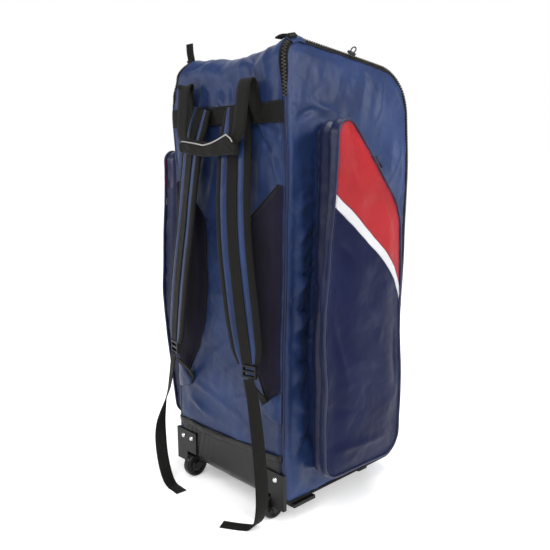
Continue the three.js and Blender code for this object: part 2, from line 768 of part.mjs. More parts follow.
// Fills the field between four border curves of an outline walked clockwise seen from +X:
// bottom and top run forward, back and front run up. border lists the field's edge in walking order.
function coonsField(columns, rows, bottom, top, back, front) {
  const us = clustered(columns);
  const vs = clustered(rows);
  const points = [];
  const corner = (a, b) => ({ y: a.y * b, z: a.z * b });
  for (let j = 0; j <= rows; j += 1) {
    for (let i = 0; i <= columns; i += 1) {
      const u = us[i];
      const v = vs[j];
      const parts = [
        corner(bottom(i), 1 - v), corner(top(i), v), corner(back(j), 1 - u), corner(front(j), u),
        corner(bottom(0), -(1 - u) * (1 - v)), corner(bottom(columns), -u * (1 - v)),
        corner(top(0), -(1 - u) * v), corner(top(columns), -u * v),
      ];
      points.push({
        y: parts.reduce((sum, part) => sum + part.y, 0),
        z: parts.reduce((sum, part) => sum + part.z, 0),
      });
    }
  }
  const at = (i, j) => j * (columns + 1) + i;
  const border = [
    ...Array.from({ length: rows }, (_, k) => at(0, k)),
    ...Array.from({ length: columns }, (_, k) => at(k, rows)),
    ...Array.from({ length: rows }, (_, k) => at(columns, rows - k)),
    ...Array.from({ length: columns }, (_, k) => at(columns - k, 0)),
  ];
  return { points, border, faces: gridFaces(rows + 1, columns + 1) };
}

// Edge trim: piping where two panels are sewn together, a zip with its coil where the lid opens
function edgeStrip(sign, from, to, angles, lifts, wall) {
  return thickPatch(
    stationsBetween(from + gap / 2, to - gap / 2),
    angles.map((_, k) => k),
    (s, k, depth) => edgePoint(sign, s, angles[k], lifts[k] - depth * wall[k]),
  );
}

function addEdgeTrim({ name, sign }) {
  const clear = gap / seamRadius;
  const low = panelEdgeAngle + clear;
  const high = 2 * edgeMiddle - low;
  const angles = [low, (low + edgeMiddle) / 2, edgeMiddle, (edgeMiddle + high) / 2, high];
  const raises = [0, pipingShoulder, pipingRaise, pipingShoulder, 0];
  const walls = raises.map((raise) => raise + clothWall);
  const opened = backAt(backTop - zipStartDrop);
  const closed = frontAt(frontZipHigh);
  add(`seam_piping_${name}`, edgeStrip(sign, closed, profile.length + opened, angles, raises, walls), 'navy');
  const coil = zipCoilWidth / zipWidth;
  const zipAngles = [-1, -coil, coil, 1].map((share) => edgeMiddle + share * (edgeMiddle - zipEdgeAngle));
  const zipTop = gap + zipWall;
  const zipLifts = [zipTop, zipTop + zipCoilRaise, zipTop + zipCoilRaise, zipTop];
  const zipWalls = zipLifts.map((lift) => lift - gap);
  add(`main_zip_${name}`, edgeStrip(sign, opened, closed, zipAngles, zipLifts, zipWalls), 'webbing');
}

// The zip along the bottom of the front fills the slot between lid and base
function addFrontZip() {
  const coil = zipCoilWidth / zipWidth / 2;
  const across = [0, 0.5 - coil, 0.5 + coil, 1];
  const raise = [0, zipCoilRaise, zipCoilRaise, 0];
  const from = frontAt(frontZipHigh) + gap / 2;
  const to = frontAt(frontZipLow) - gap / 2;
  add('main_zip_front', thickPatch([0, 1, 2, 3], reaches, (k, reach, depth) => {
    const lift = depth ? -clothWall : raise[k];
    return clothPoint(mix(from, to, across[k]), reach, lift);
  }), 'webbing');
}

// Band of webbing across the back, over the seam between lid and back
function addBand() {
  const middle = backAt(bandMiddle);
  const rows = [
    ...stationsBetween(backAt(bandLow), middle),
    ...stationsBetween(middle, backAt(bandLow + bandWidth)).slice(1),
  ];
  add('webbing_band', thickPatch(
    rows,
    reaches,
    (s, reach, depth) => clothPoint(s, reach, depth ? seat : seat + bandWall),
  ), 'webbing');
}

// Padded mesh fields on the back, with piping along their free edge
function addBackPad({ name, sign }) {
  const ownPlaces = padRows.map((row) => backAt(baseHeight + row.up * bodyHeight));
  const gridPlaces = stations.filter((s) => s > ownPlaces[0] && s < ownPlaces.at(-1));
  const places = [...ownPlaces, ...gridPlaces].sort((a, b) => a - b);
  const edgeAt = (s, edge) => {
    const up = (profile.at(s).z - baseHeight) / bodyHeight;
    return halfWidth * columnAt(padRows, 'up', edge, up);
  };
  const isEnd = (s) => s === places[0] || s === places.at(-1);
  const lastColumn = padSections.length - 1;
  add(`back_pad_${name}`, thickPatch(places, padSections, (s, section, depth) => {
    const reach = mix(edgeAt(s, 'inner'), edgeAt(s, 'outer'), section.across);
    const isFlat = padSections.indexOf(section) < lastColumn;
    const thickness = padThickness * section.swell * (isEnd(s) ? padSections[0].swell : 1);
    return clothPoint(
      s,
      sign * (isFlat ? Math.min(flatReach, reach) : reach),
      depth ? section.under : section.under + thickness,
    );
  }), 'mesh');
  const rings = places.map((s) => ringRound(pipeSegments, (a, b) => clothPoint(
    s,
    sign * (edgeAt(s, 'inner') - gap * 2 - pipingRadius * (1 - a)),
    seat + pipingRadius * (1 + b),
  )));
  add(`pad_piping_${name}`, loft(rings), 'webbing');
}

function ringRound(count, point) {
  return Array.from({ length: count }, (_, k) => {
    const angle = 2 * Math.PI * (k + 0.5) / count;
    return point(Math.cos(angle), Math.sin(angle));
  });
}

// Side pockets: the outlines of each, at its root and at its face
const pocketOutline = (kind, sink) => roundedOutline(pocketRows.map((row) => ({
  y: row[`${kind}Forward`] * halfDepth,
  z: baseHeight + row[`${kind}Up`] * bodyHeight - row.sink * sink,
  r: row[`${kind}Radius`] * bodyDepth,
})));
const pocketRoots = {};
const pocketFaces = {};
for (const { name } of sides) {
  pocketRoots[name] = pocketOutline('root', pocketSink[name]);
  pocketFaces[name] = pocketOutline('face', pocketSink[name]);
}
const pocketStepList = Object.values(pocketSteps);
const pocketStations = pocketStepList.flatMap((count, edge) => clustered(count).slice(0, -1)
  .map((share) => edge + share));

// Point on the facets of a pocket's outline. walk: number of the edge and the share along it.
function onOutline(outline, walk, offset) {
  const exact = (place) => {
    const edge = Math.floor(place) % outline.bends.length;
    return outline.at(mix(outline.middles[edge], outline.middles[edge + 1], place - Math.floor(place)), offset);
  };
  const [from, to, share] = bracket([...pocketStations, pocketStepList.length], walk);
  const [start, end] = [exact(from), exact(to)];
  return { y: mix(start.y, end.y, share), z: mix(start.z, end.z, share) };
}

function pocketOut({ name }, z) {
  return halfWidth + pocketDepth * easedAt(pocketDepthRows, 'up', name, (z - baseHeight) / bodyHeight);
}

// Point of the pocket's wall. walk: place round the outline. out: 0 at the side panel, 1 at the face.
function gussetPoint(side, walk, out, lift) {
  const swell = easedAt(gussetRows, 'out', 'swell', out) * pocketDepth;
  const root = onOutline(pocketRoots[side.name], walk, swell + lift);
  const face = onOutline(pocketFaces[side.name], walk, swell + lift);
  const start = sidePoint(side.sign, root.y, root.z, pocketSeat);
  const end = slouch(new THREE.Vector3(side.sign * (pocketOut(side, face.z) - gap), face.y, face.z));
  return start.lerp(end, out);
}

// The outer panel of the pocket is fullest away from its edge
function facePoint(side, y, z, depth) {
  const edge = pocketStations.map((walk) => onOutline(pocketFaces[side.name], walk, 0));
  const inward = Math.min(...edge.map((sample) => Math.hypot(sample.y - y, sample.z - z)));
  const full = pocketBulge * ease(inward / (pocketDepth * faceRounding));
  return slouch(new THREE.Vector3(side.sign * (pocketOut(side, z) + full + clothWall * (1 - depth)), y, z));
}

function addPocket(side) {
  const { name, sign } = side;
  const count = pocketStations.length;
  const outs = gussetRows.map((row) => row.out);
  const skin = (depth) => outs.flatMap((out) => pocketStations.map((walk) => gussetPoint(
    side,
    walk,
    out,
    -depth * clothWall,
  )));
  const faces = [];
  for (let level = 0; level + 1 < outs.length; level += 1) {
    for (let k = 0; k < count; k += 1) {
      const a = level * count + k;
      const b = level * count + ((k + 1) % count);
      faces.push([a, a + count, b + count], [a, b + count, b]);
    }
  }
  add(`pocket_gusset_${name}`, thicken(skin(0), skin(1), faces), 'navy');
  addPocketFace(side);
  const pipe = pocketStations.map((walk) => ringRound(pipeSegments, (a, b) => {
    const { y, z } = onOutline(pocketFaces[name], walk, seat + pipingRadius * (1 + a));
    return slouch(new THREE.Vector3(sign * (pocketOut(side, z) + pipingRadius * b), y, z));
  }));
  add(`pocket_piping_${name}`, loft(pipe, true), 'navy');
  addPocketZip(side);
}

// Place on the rear or front edge of a pocket's face at a height
function edgeWalk(side, edge, z) {
  const share = even(heightSteps).find((step) => {
    const point = onOutline(pocketFaces[side.name], edge + step, 0);
    return edge === pocketEdge.rear ? point.z >= z : point.z <= z;
  });
  return edge + share;
}

// The face is sewn from three panels: the lower one, the stripe and the upper one
function addPocketFace(side) {
  const outline = pocketFaces[side.name];
  const stripeUp = (share, rim) => {
    const middle = baseHeight + bodyHeight * columnAt(stripeRows, 'along', 'up', share);
    const settled = middle - pocketSink[side.name] * stripeSink;
    return settled + rim * stripeWidth / 2 * columnAt(stripeRows, 'along', 'width', share);
  };
  const ends = (rim) => ({
    rear: edgeWalk(side, pocketEdge.rear, stripeUp(0, rim)),
    front: edgeWalk(side, pocketEdge.front, stripeUp(1, rim)),
  });
  const line = (rim, nudge) => (share) => {
    const { rear, front } = ends(rim);
    const from = onOutline(outline, rear, 0);
    const to = onOutline(outline, front, 0);
    const bow = stripeUp(share, rim) - mix(stripeUp(0, rim), stripeUp(1, rim), share);
    return {
      y: mix(from.y, to.y, share),
      z: mix(from.z, to.z, share) + bow + nudge,
    };
  };
  const low = ends(-1);
  const high = ends(1);
  const apexLow = pocketEdge.apex - apexArc(outline, pocketEdge.apex - 1);
  const apexHigh = pocketEdge.apex + apexArc(outline, pocketEdge.apex);
  const parts = [
    {
      part: 'lower',
      finish: 'navy',
      rows: 6,
      bottom: (u) => onOutline(outline, pocketRows.length - u, 0),
      top: line(-1, -gap / 2),
      back: (v) => onOutline(outline, mix(0, low.rear, v), 0),
      front: (v) => onOutline(outline, mix(pocketRows.length - 1, low.front, v), 0),
    },
    {
      part: 'stripe',
      finish: 'white',
      rows: 1,
      bottom: line(-1, gap / 2),
      top: line(1, -gap / 2),
      back: (v) => onOutline(outline, mix(low.rear, high.rear, v), 0),
      front: (v) => onOutline(outline, mix(low.front, high.front, v), 0),
    },
    {
      part: 'upper',
      finish: 'red',
      rows: 5,
      bottom: line(1, gap / 2),
      top: (u) => onOutline(outline, mix(apexLow, apexHigh, u), 0),
      back: (v) => onOutline(outline, mix(high.rear, apexLow, v), 0),
      front: (v) => onOutline(outline, mix(high.front, apexHigh, v), 0),
    },
  ];
  for (const { part, finish, rows, bottom, top, back, front } of parts) {
    add(`pocket_${part}_${side.name}`, thickPatch(even(rows), even(faceColumns), (v, u, depth) => {
      const blend = (axis) => (1 - v) * bottom(u)[axis] + v * top(u)[axis]
        + (1 - u) * back(v)[axis] + u * front(v)[axis]
        - (1 - u) * (1 - v) * bottom(0)[axis] - u * (1 - v) * bottom(1)[axis]
        - (1 - u) * v * top(0)[axis] - u * v * top(1)[axis];
      return facePoint(side, blend('y'), blend('z'), depth);
    }), finish);
  }
}

// Half the round of the apex, as a share of an edge beside it
function apexArc({ middles, bends }, edge) {
  const apex = bends[pocketEdge.apex];
  return apex.r * apex.turn / 2 / (middles[edge + 1] - middles[edge]);
}

const pocketZipPlace = 1 - pocketZipInset / pocketDepth;

function addPocketZip(side) {
  const isZipped = (walk) => walk > pocketEdge.apex + pocketZipSpan.from
    && walk < pocketEdge.apex + pocketZipSpan.to;
  const walks = pocketStations.filter(isZipped);
  const half = pocketZipWidth / pocketDepth / 2;
  const coil = zipCoilWidth / zipWidth;
  const outs = [-1, -coil, coil, 1].map((share) => pocketZipPlace + share * half);
  const raises = [0, zipCoilRaise, zipCoilRaise, 0];
  add(`pocket_zip_${side.name}`, thickPatch(walks, [0, 1, 2, 3], (walk, k, depth) => gussetPoint(
    side,
    walk,
    outs[k],
    depth ? seat : seat + zipWall + raises[k],
  )), 'webbing');
}

// A strip of webbing or padding along a route of rows. Each row gives a point, a width and a direction
// across; the section is a list of [across, out] shares of the half width and half thickness.
const flatSection = [[-1, -1], [1, -1], [1, 1], [-1, 1]];
const paddedSection = [[-1, -0.4], [-0.75, -1], [0.75, -1], [1, -0.4], [1, 0.4], [0.75, 1], [-0.75, 1], [-1, 0.4]];

function strip(rows, steps, thickness, section, shift = 0) {
  const curve = new THREE.CatmullRomCurve3(rows.map((row) => row.point), false, 'centripetal');
  const last = rows.length - 1;
  const rings = even(steps).map((share) => {
    const place = share * last;
    const k = Math.min(last - 1, Math.floor(place));
    const blend = place - k;
    const width = mix(rows[k].width, rows[k + 1].width, blend);
    const turn = mix(rows[k].turn, rows[k + 1].turn, blend) * degree;
    const point = curve.getPoint(share);
    const forward = curve.getTangent(share);
    const wanted = rows[k].roll
      ? new THREE.Vector3(Math.cos(turn), 0, Math.sin(turn) * rows[k].roll)
      : new THREE.Vector3(Math.cos(turn), Math.sin(turn), 0);
    const across = wanted.addScaledVector(forward, -wanted.dot(forward)).normalize();
    const out = new THREE.Vector3().crossVectors(forward, across).normalize();
    return section.map(([a, b]) => point.clone()
      .addScaledVector(across, a * width / 2)
      .addScaledVector(out, b * thickness / 2 + shift));
  });
  return loft(rings);
}

// A point of the straps: out from the middle, off the back panel, up the body
function strapPoint(sign, row) {
  return new THREE.Vector3(
    sign * row.out * halfWidth,
    -halfDepth - row.off * halfWidth,
    baseHeight + row.up * bodyHeight,
  );
}

function addShoulderStrap({ name, sign }) {
  const rows = strapRows.map((row) => ({
    point: strapPoint(sign, row),
    width: strapWidth * row.width,
    turn: sign * row.turn,
  }));
  add(`shoulder_strap_${name}`, strip(rows, strapSteps, strapThickness, paddedSection), 'navy');
  const clear = strapThickness / 2 + seat + webbingWall / 2;
  const webbing = rows.map((row) => ({ ...row, width: webbingWidth }));
  add(`strap_webbing_${name}`, strip(webbing, strapSteps, webbingWall, flatSection, clear), 'webbing');
  addBuckle(name, sign, rows.at(-1));
  const endHeight = strapPoint(sign, strapRows.at(-1)).z;
  const tail = tailRows[name].map((row) => ({
    point: strapPoint(sign, row).setZ(row.up * endHeight),
    width: webbingWidth,
    turn: row.turn,
  }));
  add(`strap_tail_${name}`, strip(tail, tailSteps, webbingWall, flatSection), 'webbing');
  const anchor = anchorRows.map((row) => ({
    point: strapPoint(sign, row),
    width: webbingWidth * row.width,
    turn: row.turn,
    roll: sign,
  }));
  add(`strap_anchor_${name}`, strip(anchor, anchorSteps, webbingWall, flatSection), 'webbing');
}

// Ladder buckle at the lower end of a strap: a frame with two bars across
function addBuckle(name, sign, end) {
  const frame = box(
    new THREE.Vector3(-buckleWidth / 2, -buckleThickness / 2, -buckleHeight / 2),
    new THREE.Vector3(buckleWidth / 2, buckleThickness / 2, buckleHeight / 2),
  );
  const slot = (low, high) => box(
    new THREE.Vector3(-webbingWidth / 2 - gap, -buckleThickness, low),
    new THREE.Vector3(webbingWidth / 2 + gap, buckleThickness, high),
  );
  const holed = cut(
    frame,
    slot(-buckleHeight / 2 + buckleBar, -buckleBar / 2),
    slot(buckleBar / 2, buckleHeight / 2 - buckleBar),
  );
  const place = end.point.clone();
  place.z -= buckleHeight / 2 + buckleDrop;
  place.x += sign * buckleThickness / 2;
  holed.rotateZ(end.turn * degree).translate(place.x, place.y, place.z);
  add(`strap_buckle_${name}`, holed, 'plastic');
}

// Haul handle: one webbing that rises from the band, falls forward and runs through a cloth wrap
function handlePoint(sign, row) {
  const point = strapPoint(sign, row);
  point.x += row.sway * handleSway;
  return point;
}

function addHandle() {
  const half = (sign) => handleRows.map((row) => ({
    point: handlePoint(sign, row),
    width: row.width * handleWidth,
    turn: sign > 0 ? row.turn : 180 - row.turn,
    roll: -1,
  }));
  const rows = [...half(1), ...half(-1).slice(0, -1).reverse()];
  add('haul_handle', strip(rows, handleSteps, handleWebbingWall, flatSection), 'webbing');
  const tunnelRows = rows.map((row) => ({ ...row, width: row.width + gap * 4 }));
  const tunnel = strip(tunnelRows, handleSteps, handleWebbingWall + gap * 2, flatSection);
  const middle = handlePoint(1, handleRows.at(-1));
  const outline = new THREE.Shape();
  outline.moveTo(-wrapLength / 2, -wrapHeight / 2 + wrapSlant);
  outline.lineTo(0, -wrapHeight / 2);
  outline.lineTo(wrapLength / 2, -wrapHeight / 2 + wrapSlant);
  outline.lineTo(wrapLength / 2 - wrapSlant, wrapHeight / 2 + wrapSlant);
  outline.lineTo(0, wrapHeight / 2 - wrapSlant);
  outline.lineTo(-wrapLength / 2 + wrapSlant, wrapHeight / 2 + wrapSlant);
  const body = new THREE.ExtrudeGeometry(outline, { depth: wrapThickness, bevelEnabled: false })
    .translate(0, 0, -wrapThickness / 2)
    .rotateX(Math.PI / 2)
    .translate(middle.x, middle.y, middle.z);
  add('handle_wrap', cut(body, tunnel), 'webbing');
}

// Hard parts of the base lean to the left with the bag's foot
const baseShift = leanRows[0].shift * bodyWidth;
const wheelY = -halfDepth + wheelBackInset;
const wheelOut = halfWidth - wheelSideInset;
const wheelIn = wheelOut - wheelWidth / 2 - runningGap;
const cheekIn = wheelOut + wheelWidth / 2 + runningGap;
const cheekFront = wheelY + cheekReach;

function wheelWell(sign) {
  const reach = wheelRadius + wellClearance + wellMargin;
  return sideBox(
    sign,
    [wheelIn - axleHeadWidth - wellClearance, cheekIn + cheekWall + runningGap * 2],
    [-halfDepth - wellClearance * 2, wheelY + reach],
    [0, wheelRadius + reach + guardWall],
  ).translate(baseShift, 0, 0);
}

function addWheelSet({ name, sign }) {
  const bore = axleRadius + runningGap / 2;
  const half = wheelWidth / 2;
  const lathe = new THREE.LatheGeometry([
    [bore, -half], [hubRadius, -half], [hubRadius + hubDish, -half + hubDish],
    [wheelRadius - treadEdge, -half + hubDish], [wheelRadius, -half + treadEdge + hubDish],
    [wheelRadius, half - treadEdge - hubDish], [wheelRadius - treadEdge, half - hubDish],
    [hubRadius + hubDish, half - hubDish], [hubRadius, half], [bore, half],
    [bore, -half],
  ].map(([r, along]) => new THREE.Vector2(r, along)), wheelSegments);
  lathe.rotateZ(Math.PI / 2).translate(sign * wheelOut + baseShift, wheelY, wheelRadius);
  add(`wheel_${name}`, fromManifold(toManifold(lathe)), 'wheel');

  const outer = halfWidth + gap + guardWall;
  const guardIn = wheelIn - guardMargin;
  const backFace = -halfDepth - gap - guardWall;
  const backLeg = sideBox(sign, [guardIn, outer], [backFace, -halfDepth - gap], [guardLow, guardHigh]);
  const sideLeg = sideBox(
    sign,
    [halfWidth + gap, outer],
    [backFace, backFace + guardReturn],
    [guardLow, guardHigh],
  );
  const cheekTop = wheelRadius * 2 + wellClearance;
  const cheek = sideBox(
    sign,
    [cheekIn, cheekIn + cheekWall],
    [-halfDepth - guardWall, cheekFront],
    [wheelRadius, cheekTop + guardWall],
  );
  const cheekFoot = rodX(cheekRadius, sign * cheekIn, sign * (cheekIn + cheekWall), wheelY, wheelRadius);
  const roof = sideBox(
    sign,
    [wheelIn, cheekIn + cheekWall],
    [-halfDepth - guardWall, cheekFront],
    [cheekTop, cheekTop + guardWall],
  );
  const headIn = wheelIn - axleHeadWidth;
  const axle = rodX(axleRadius, sign * headIn, sign * (cheekIn + cheekWall / 2), wheelY, wheelRadius);
  const head = rodX(axleHeadRadius, sign * headIn, sign * wheelIn, wheelY, wheelRadius);
  const slot = sideBox(
    sign,
    [guardIn - guardWall, cheekIn],
    [backFace - gap, -halfDepth],
    [0, cheekTop],
  );
  const guard = join(cut(join(backLeg, sideLeg), slot), cheek, cheekFoot, roof, axle, head);
  add(`wheel_housing_${name}`, guard.translate(baseShift, 0, 0), 'plastic');

  const rivetPlaces = [
    { label: 'inner', out: outer - rivetInset - rivetSpacing },
    { label: 'outer', out: outer - rivetInset },
  ];
  for (const { label, out } of rivetPlaces) {
    const dome = new THREE.LatheGeometry([
      [0, 0], [rivetRadius, 0], [rivetRadius * 0.7, rivetHeight], [0, rivetHeight],
    ].map(([r, h]) => new THREE.Vector2(r, h)), roundSegments);
    dome.rotateX(Math.PI).translate(sign * out + baseShift, backFace - gap, guardHigh - rivetDrop);
    add(`rivet_${label}_${name}`, fromManifold(toManifold(dome)), 'steel');
  }

  const skid = sideBox(
    sign,
    [outer - skidWidth, outer],
    [cheekFront + gap, cheekFront + gap + skidLength],
    [baseHeight - gap - skidThickness, baseHeight - gap],
  );
  add(`corner_skid_${name}`, skid.translate(baseShift, 0, 0), 'plastic');
  addFoot(name, sign);
}

function addFoot(name, sign) {
  const outline = new THREE.Shape();
  const half = { x: footLength / 2 - footRadius, y: footDepth / 2 - footRadius };
  outline.absarc(half.x, half.y, footRadius, 0, Math.PI / 2);
  outline.absarc(-half.x, half.y, footRadius, Math.PI / 2, Math.PI);
  outline.absarc(-half.x, -half.y, footRadius, Math.PI, 1.5 * Math.PI);
  outline.absarc(half.x, -half.y, footRadius, 1.5 * Math.PI, 2 * Math.PI);
  const foot = new THREE.ExtrudeGeometry(outline, { depth: baseHeight - gap, bevelEnabled: false, curveSegments: 3 });
  foot.translate(sign * (halfWidth - footSideInset) + baseShift, halfDepth - footFrontInset, 0);
  add(`front_foot_${name}`, foot, 'plastic');
}

// Zip sliders, each with its pull
function slider({ origin, out, along }, pull) {
  const side = new THREE.Vector3().crossVectors(along, out).normalize();
  const basis = new THREE.Matrix4().makeBasis(side, along, out).setPosition(origin);
  const body = new THREE.BoxGeometry(sliderWidth, sliderLength, sliderHeight).translate(0, 0, sliderHeight / 2);
  return join(body.applyMatrix4(basis), pull);
}

// Where a slider sits: its origin, the way out of the cloth and the way along the zip
function sliderSeat(origin, above, ahead) {
  const out = above.sub(origin).normalize();
  const along = ahead.sub(origin).normalize();
  along.addScaledVector(out, -along.dot(out)).normalize();
  return { origin, out, along };
}

// Cloth tabs on the main zip, as shares of their length: one stands up, one points across the top
const tabRows = {
  left: { turn: 20, points: [[0, 0, 0.12], [-0.10, 0, 0.5], [-0.16, 0.02, 1]] },
  right: { turn: 80, points: [[0.05, 0, 0.08], [-0.55, 0.02, 0.14], [-1, 0.04, 0.05]] },
};

function addMainSliders() {
  const lift = seat + gap + zipWall + zipCoilRaise;
  const seatAt = (sign, s, height) => sliderSeat(
    edgePoint(sign, s, edgeMiddle, height),
    edgePoint(sign, s, edgeMiddle, height + sliderHeight),
    edgePoint(sign, s + sliderLength, edgeMiddle, height),
  );
  for (const { name, sign } of sides) {
    const place = seatAt(sign, profile.middles[1] + sliderLength, lift + sliderLift);
    const rows = tabRows[name].points.map((shares) => ({
      point: new THREE.Vector3(...shares).multiplyScalar(tabLength).add(place.origin),
      width: tabWidth,
      turn: tabRows[name].turn,
    }));
    add(`zip_slider_${name}`, slider(place, strip(rows, sliderSteps, tabWall, flatSection)), 'webbing');
  }
  const top = seatAt(1, profile.on(1, 0.5), lift);
  const loop = new THREE.TorusGeometry(loopRadius, loopWire, wireSegments, loopSegments);
  const across = new THREE.Vector3().crossVectors(top.along, top.out);
  const rise = sliderHeight + loopRadius - loopWire - loopSink;
  loop.applyMatrix4(new THREE.Matrix4().makeBasis(top.along, top.out, across)
    .setPosition(top.origin.clone().addScaledVector(top.out, rise)));
  add('zip_slider_top', slider(top, loop), 'plastic');
}

function addPocketSliders(side) {
  const lift = seat + looseSeat + zipWall + zipCoilRaise;
  const { middles } = pocketFaces[side.name];
  for (const { label, onward } of pocketSliderPlaces) {
    const walk = pocketEdge.apex + onward;
    const edge = Math.floor(walk);
    const ahead = seatProbe / (middles[edge + 1] - middles[edge]);
    const place = sliderSeat(
      gussetPoint(side, walk, pocketZipPlace, lift),
      gussetPoint(side, walk, pocketZipPlace, lift + sliderHeight),
      gussetPoint(side, walk + ahead, pocketZipPlace, lift),
    );
    const start = place.origin.clone().addScaledVector(place.out, sliderHeight);
    const rows = [0, 0.5, 1].map((share) => ({
      point: start.clone()
        .addScaledVector(place.along, share * pullLength - pullLap)
        .addScaledVector(place.out, share * pullRise),
      width: pullWidth,
      turn: 0,
    }));
    const pull = strip(rows, sliderSteps, tabWall, flatSection);
    add(`pocket_slider_${label}_${side.name}`, slider(place, pull), 'plastic');
  }
}

addRoundPanels(sides.map(({ sign }) => wheelWell(sign)));
addFrontZip();
addBand();
for (const side of sides) {
  addSidePanel(side);
  addEdgeTrim(side);
  addBackPad(side);
  addPocket(side);
  addPocketSliders(side);
  addShoulderStrap(side);
  addWheelSet(side);
}
addMainSliders();
addHandle();

// The origin is on the floor, in the middle of the whole bag's footprint
const extent = new THREE.Box3().setFromObject(group, true);
const footprint = extent.getCenter(new THREE.Vector3());
group.position.set(-footprint.x, -footprint.y, -extent.min.z);

export default group;
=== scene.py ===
"""Looks of the wheeled travel bag: cloth, webbing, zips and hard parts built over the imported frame."""

import math

import bmesh
import bpy
import numpy as np
from mathutils import Matrix, Vector


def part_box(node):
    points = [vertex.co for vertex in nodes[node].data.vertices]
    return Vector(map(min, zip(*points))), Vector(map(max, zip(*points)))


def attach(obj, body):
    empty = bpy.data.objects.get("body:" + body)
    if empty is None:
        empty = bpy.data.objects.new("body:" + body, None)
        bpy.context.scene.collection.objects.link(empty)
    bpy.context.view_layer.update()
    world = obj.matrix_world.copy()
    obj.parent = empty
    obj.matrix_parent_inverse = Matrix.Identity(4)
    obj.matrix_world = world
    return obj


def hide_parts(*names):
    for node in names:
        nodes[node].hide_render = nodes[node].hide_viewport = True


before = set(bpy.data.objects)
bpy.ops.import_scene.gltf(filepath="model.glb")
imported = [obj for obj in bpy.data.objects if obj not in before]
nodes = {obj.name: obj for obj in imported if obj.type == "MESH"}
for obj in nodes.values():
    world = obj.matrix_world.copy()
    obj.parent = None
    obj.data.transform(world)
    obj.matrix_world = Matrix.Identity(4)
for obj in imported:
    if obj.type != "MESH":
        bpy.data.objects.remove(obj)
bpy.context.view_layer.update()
SIDES = (("right", 1), ("left", -1))

# Sizes, in millimetres, in the frame of the straight bag: middle of the body at x = y = 0
BODY_WIDTH = 340.0
BODY_DEPTH = 362.0
BASE_HEIGHT = 37.0
BACK_TOP = 929.0
FRONT_TOP = 878.0
# At the back foot, the back top, the front top and the front foot
CORNER_RADII = (25.0, 42.0, 100.0, 40.0)
SEAM_RADIUS = 16.0
HALF_WIDTH = BODY_WIDTH / 2
HALF_DEPTH = BODY_DEPTH / 2
BODY_HEIGHT = BACK_TOP - BASE_HEIGHT
FLAT_REACH = HALF_WIDTH - SEAM_RADIUS
# Where the cloth round the bag ends on the round of its edge
PANEL_ANGLE = math.radians(36)
PANEL_REACH = FLAT_REACH + SEAM_RADIUS * PANEL_ANGLE
PANEL_STEP = 4.6

ZIP_WIDTH = 16.0
ZIP_START = 818.0
FRONT_ZIP_HEIGHT = 92.0
# The scrap of cloth over the right zip, from the middle of the top back corner
GARAGE_START = 6.0
GARAGE_LENGTH = 40.0
GARAGE_LIFT = 2.0
GARAGE_RISE = 3.4
# Zip teeth, and the width and height of a pair of them. Skew and reach are shares.
TOOTH_PITCH = 6.0
TOOTH_SKEW = 0.55
TOOTH_REACH = 0.62
TOOTH_BREADTH = 2.6
MAIN_TEETH = (6.4, 2.0)
POCKET_TEETH = (5.6, 1.6)
# How far the two lines of stitches lie inside the edge of the cloth; their pale thread is partly painted
# highlight
SEAM_HIGHLIGHT_STITCHES = (4.0, 7.5)
PIPING_RADIUS = 2.7
PAD_PIPING_RADIUS = 2.8
ROOT_PIPING_RADIUS = 2.2
WRAP_PIPING_RADIUS = 1.3
BINDING_RADIUS = 3.4
BAND_LOW = 772.0
BAND_WIDTH = 38.0
BAND_WALL = 1.5
BAND_LIFT = 2.8
VINYL_TOP = 134.0
VINYL_FRONT_EDGE = 100.0

POCKET_DEPTH = 80.0
POCKET_BULGE = 7.0
POCKET_ZIP_PLACE = 0.87
# How far the filling of each pocket has sunk: 1 right, -1 left
POCKET_SINK = {1: 0.0, -1: 56.0}
POCKET_ZIP_HALF = 10.0
# Walks: the number of an edge of the pocket, and the share along it
POCKET_ZIP_START, POCKET_ZIP_END = 2.06, 3.86
# Taken for each edge of a pocket where the weave is laid
EDGE_LENGTH = 200.0
STRIPE_SINK = 0.4
STRIPE_WIDTH = 22.0
PAD_THICKNESS = 8.0

STRAP_WIDTH = 76.0
STRAP_THICKNESS = 10.0
STRAP_STEPS = 12
# In radians: how far the edge binding comes round the edge of a strap
BINDING_ANGLE = 1.577
WEBBING_WIDTH = 25.0
WEBBING_WALL = 1.6
CLOTH_WALL = 1.6
VINYL_WALL = 2.2
THIN_WALL = 1.4
TAPE_WALL = 1.0
WING_WALL = 3.0
HANDLE_WIDTH = 34.0
HANDLE_WALL = 2.2
HANDLE_SWAY = 10.0

WHEEL_RADIUS = 27.0
WHEEL_WIDTH = 20.0
WHEEL_OUT = 127.0
WHEEL_Y = -HALF_DEPTH + 9.0
# Room for a wheel in the coated foot
WELL_ROOM = {"beside": 7.0, "front": 6.0, "above": 8.0}


def table(names, rows):
    """A table of named columns as arrays."""
    return {name: np.array([row[i] for row in rows], float) for i, name in enumerate(names.split())}


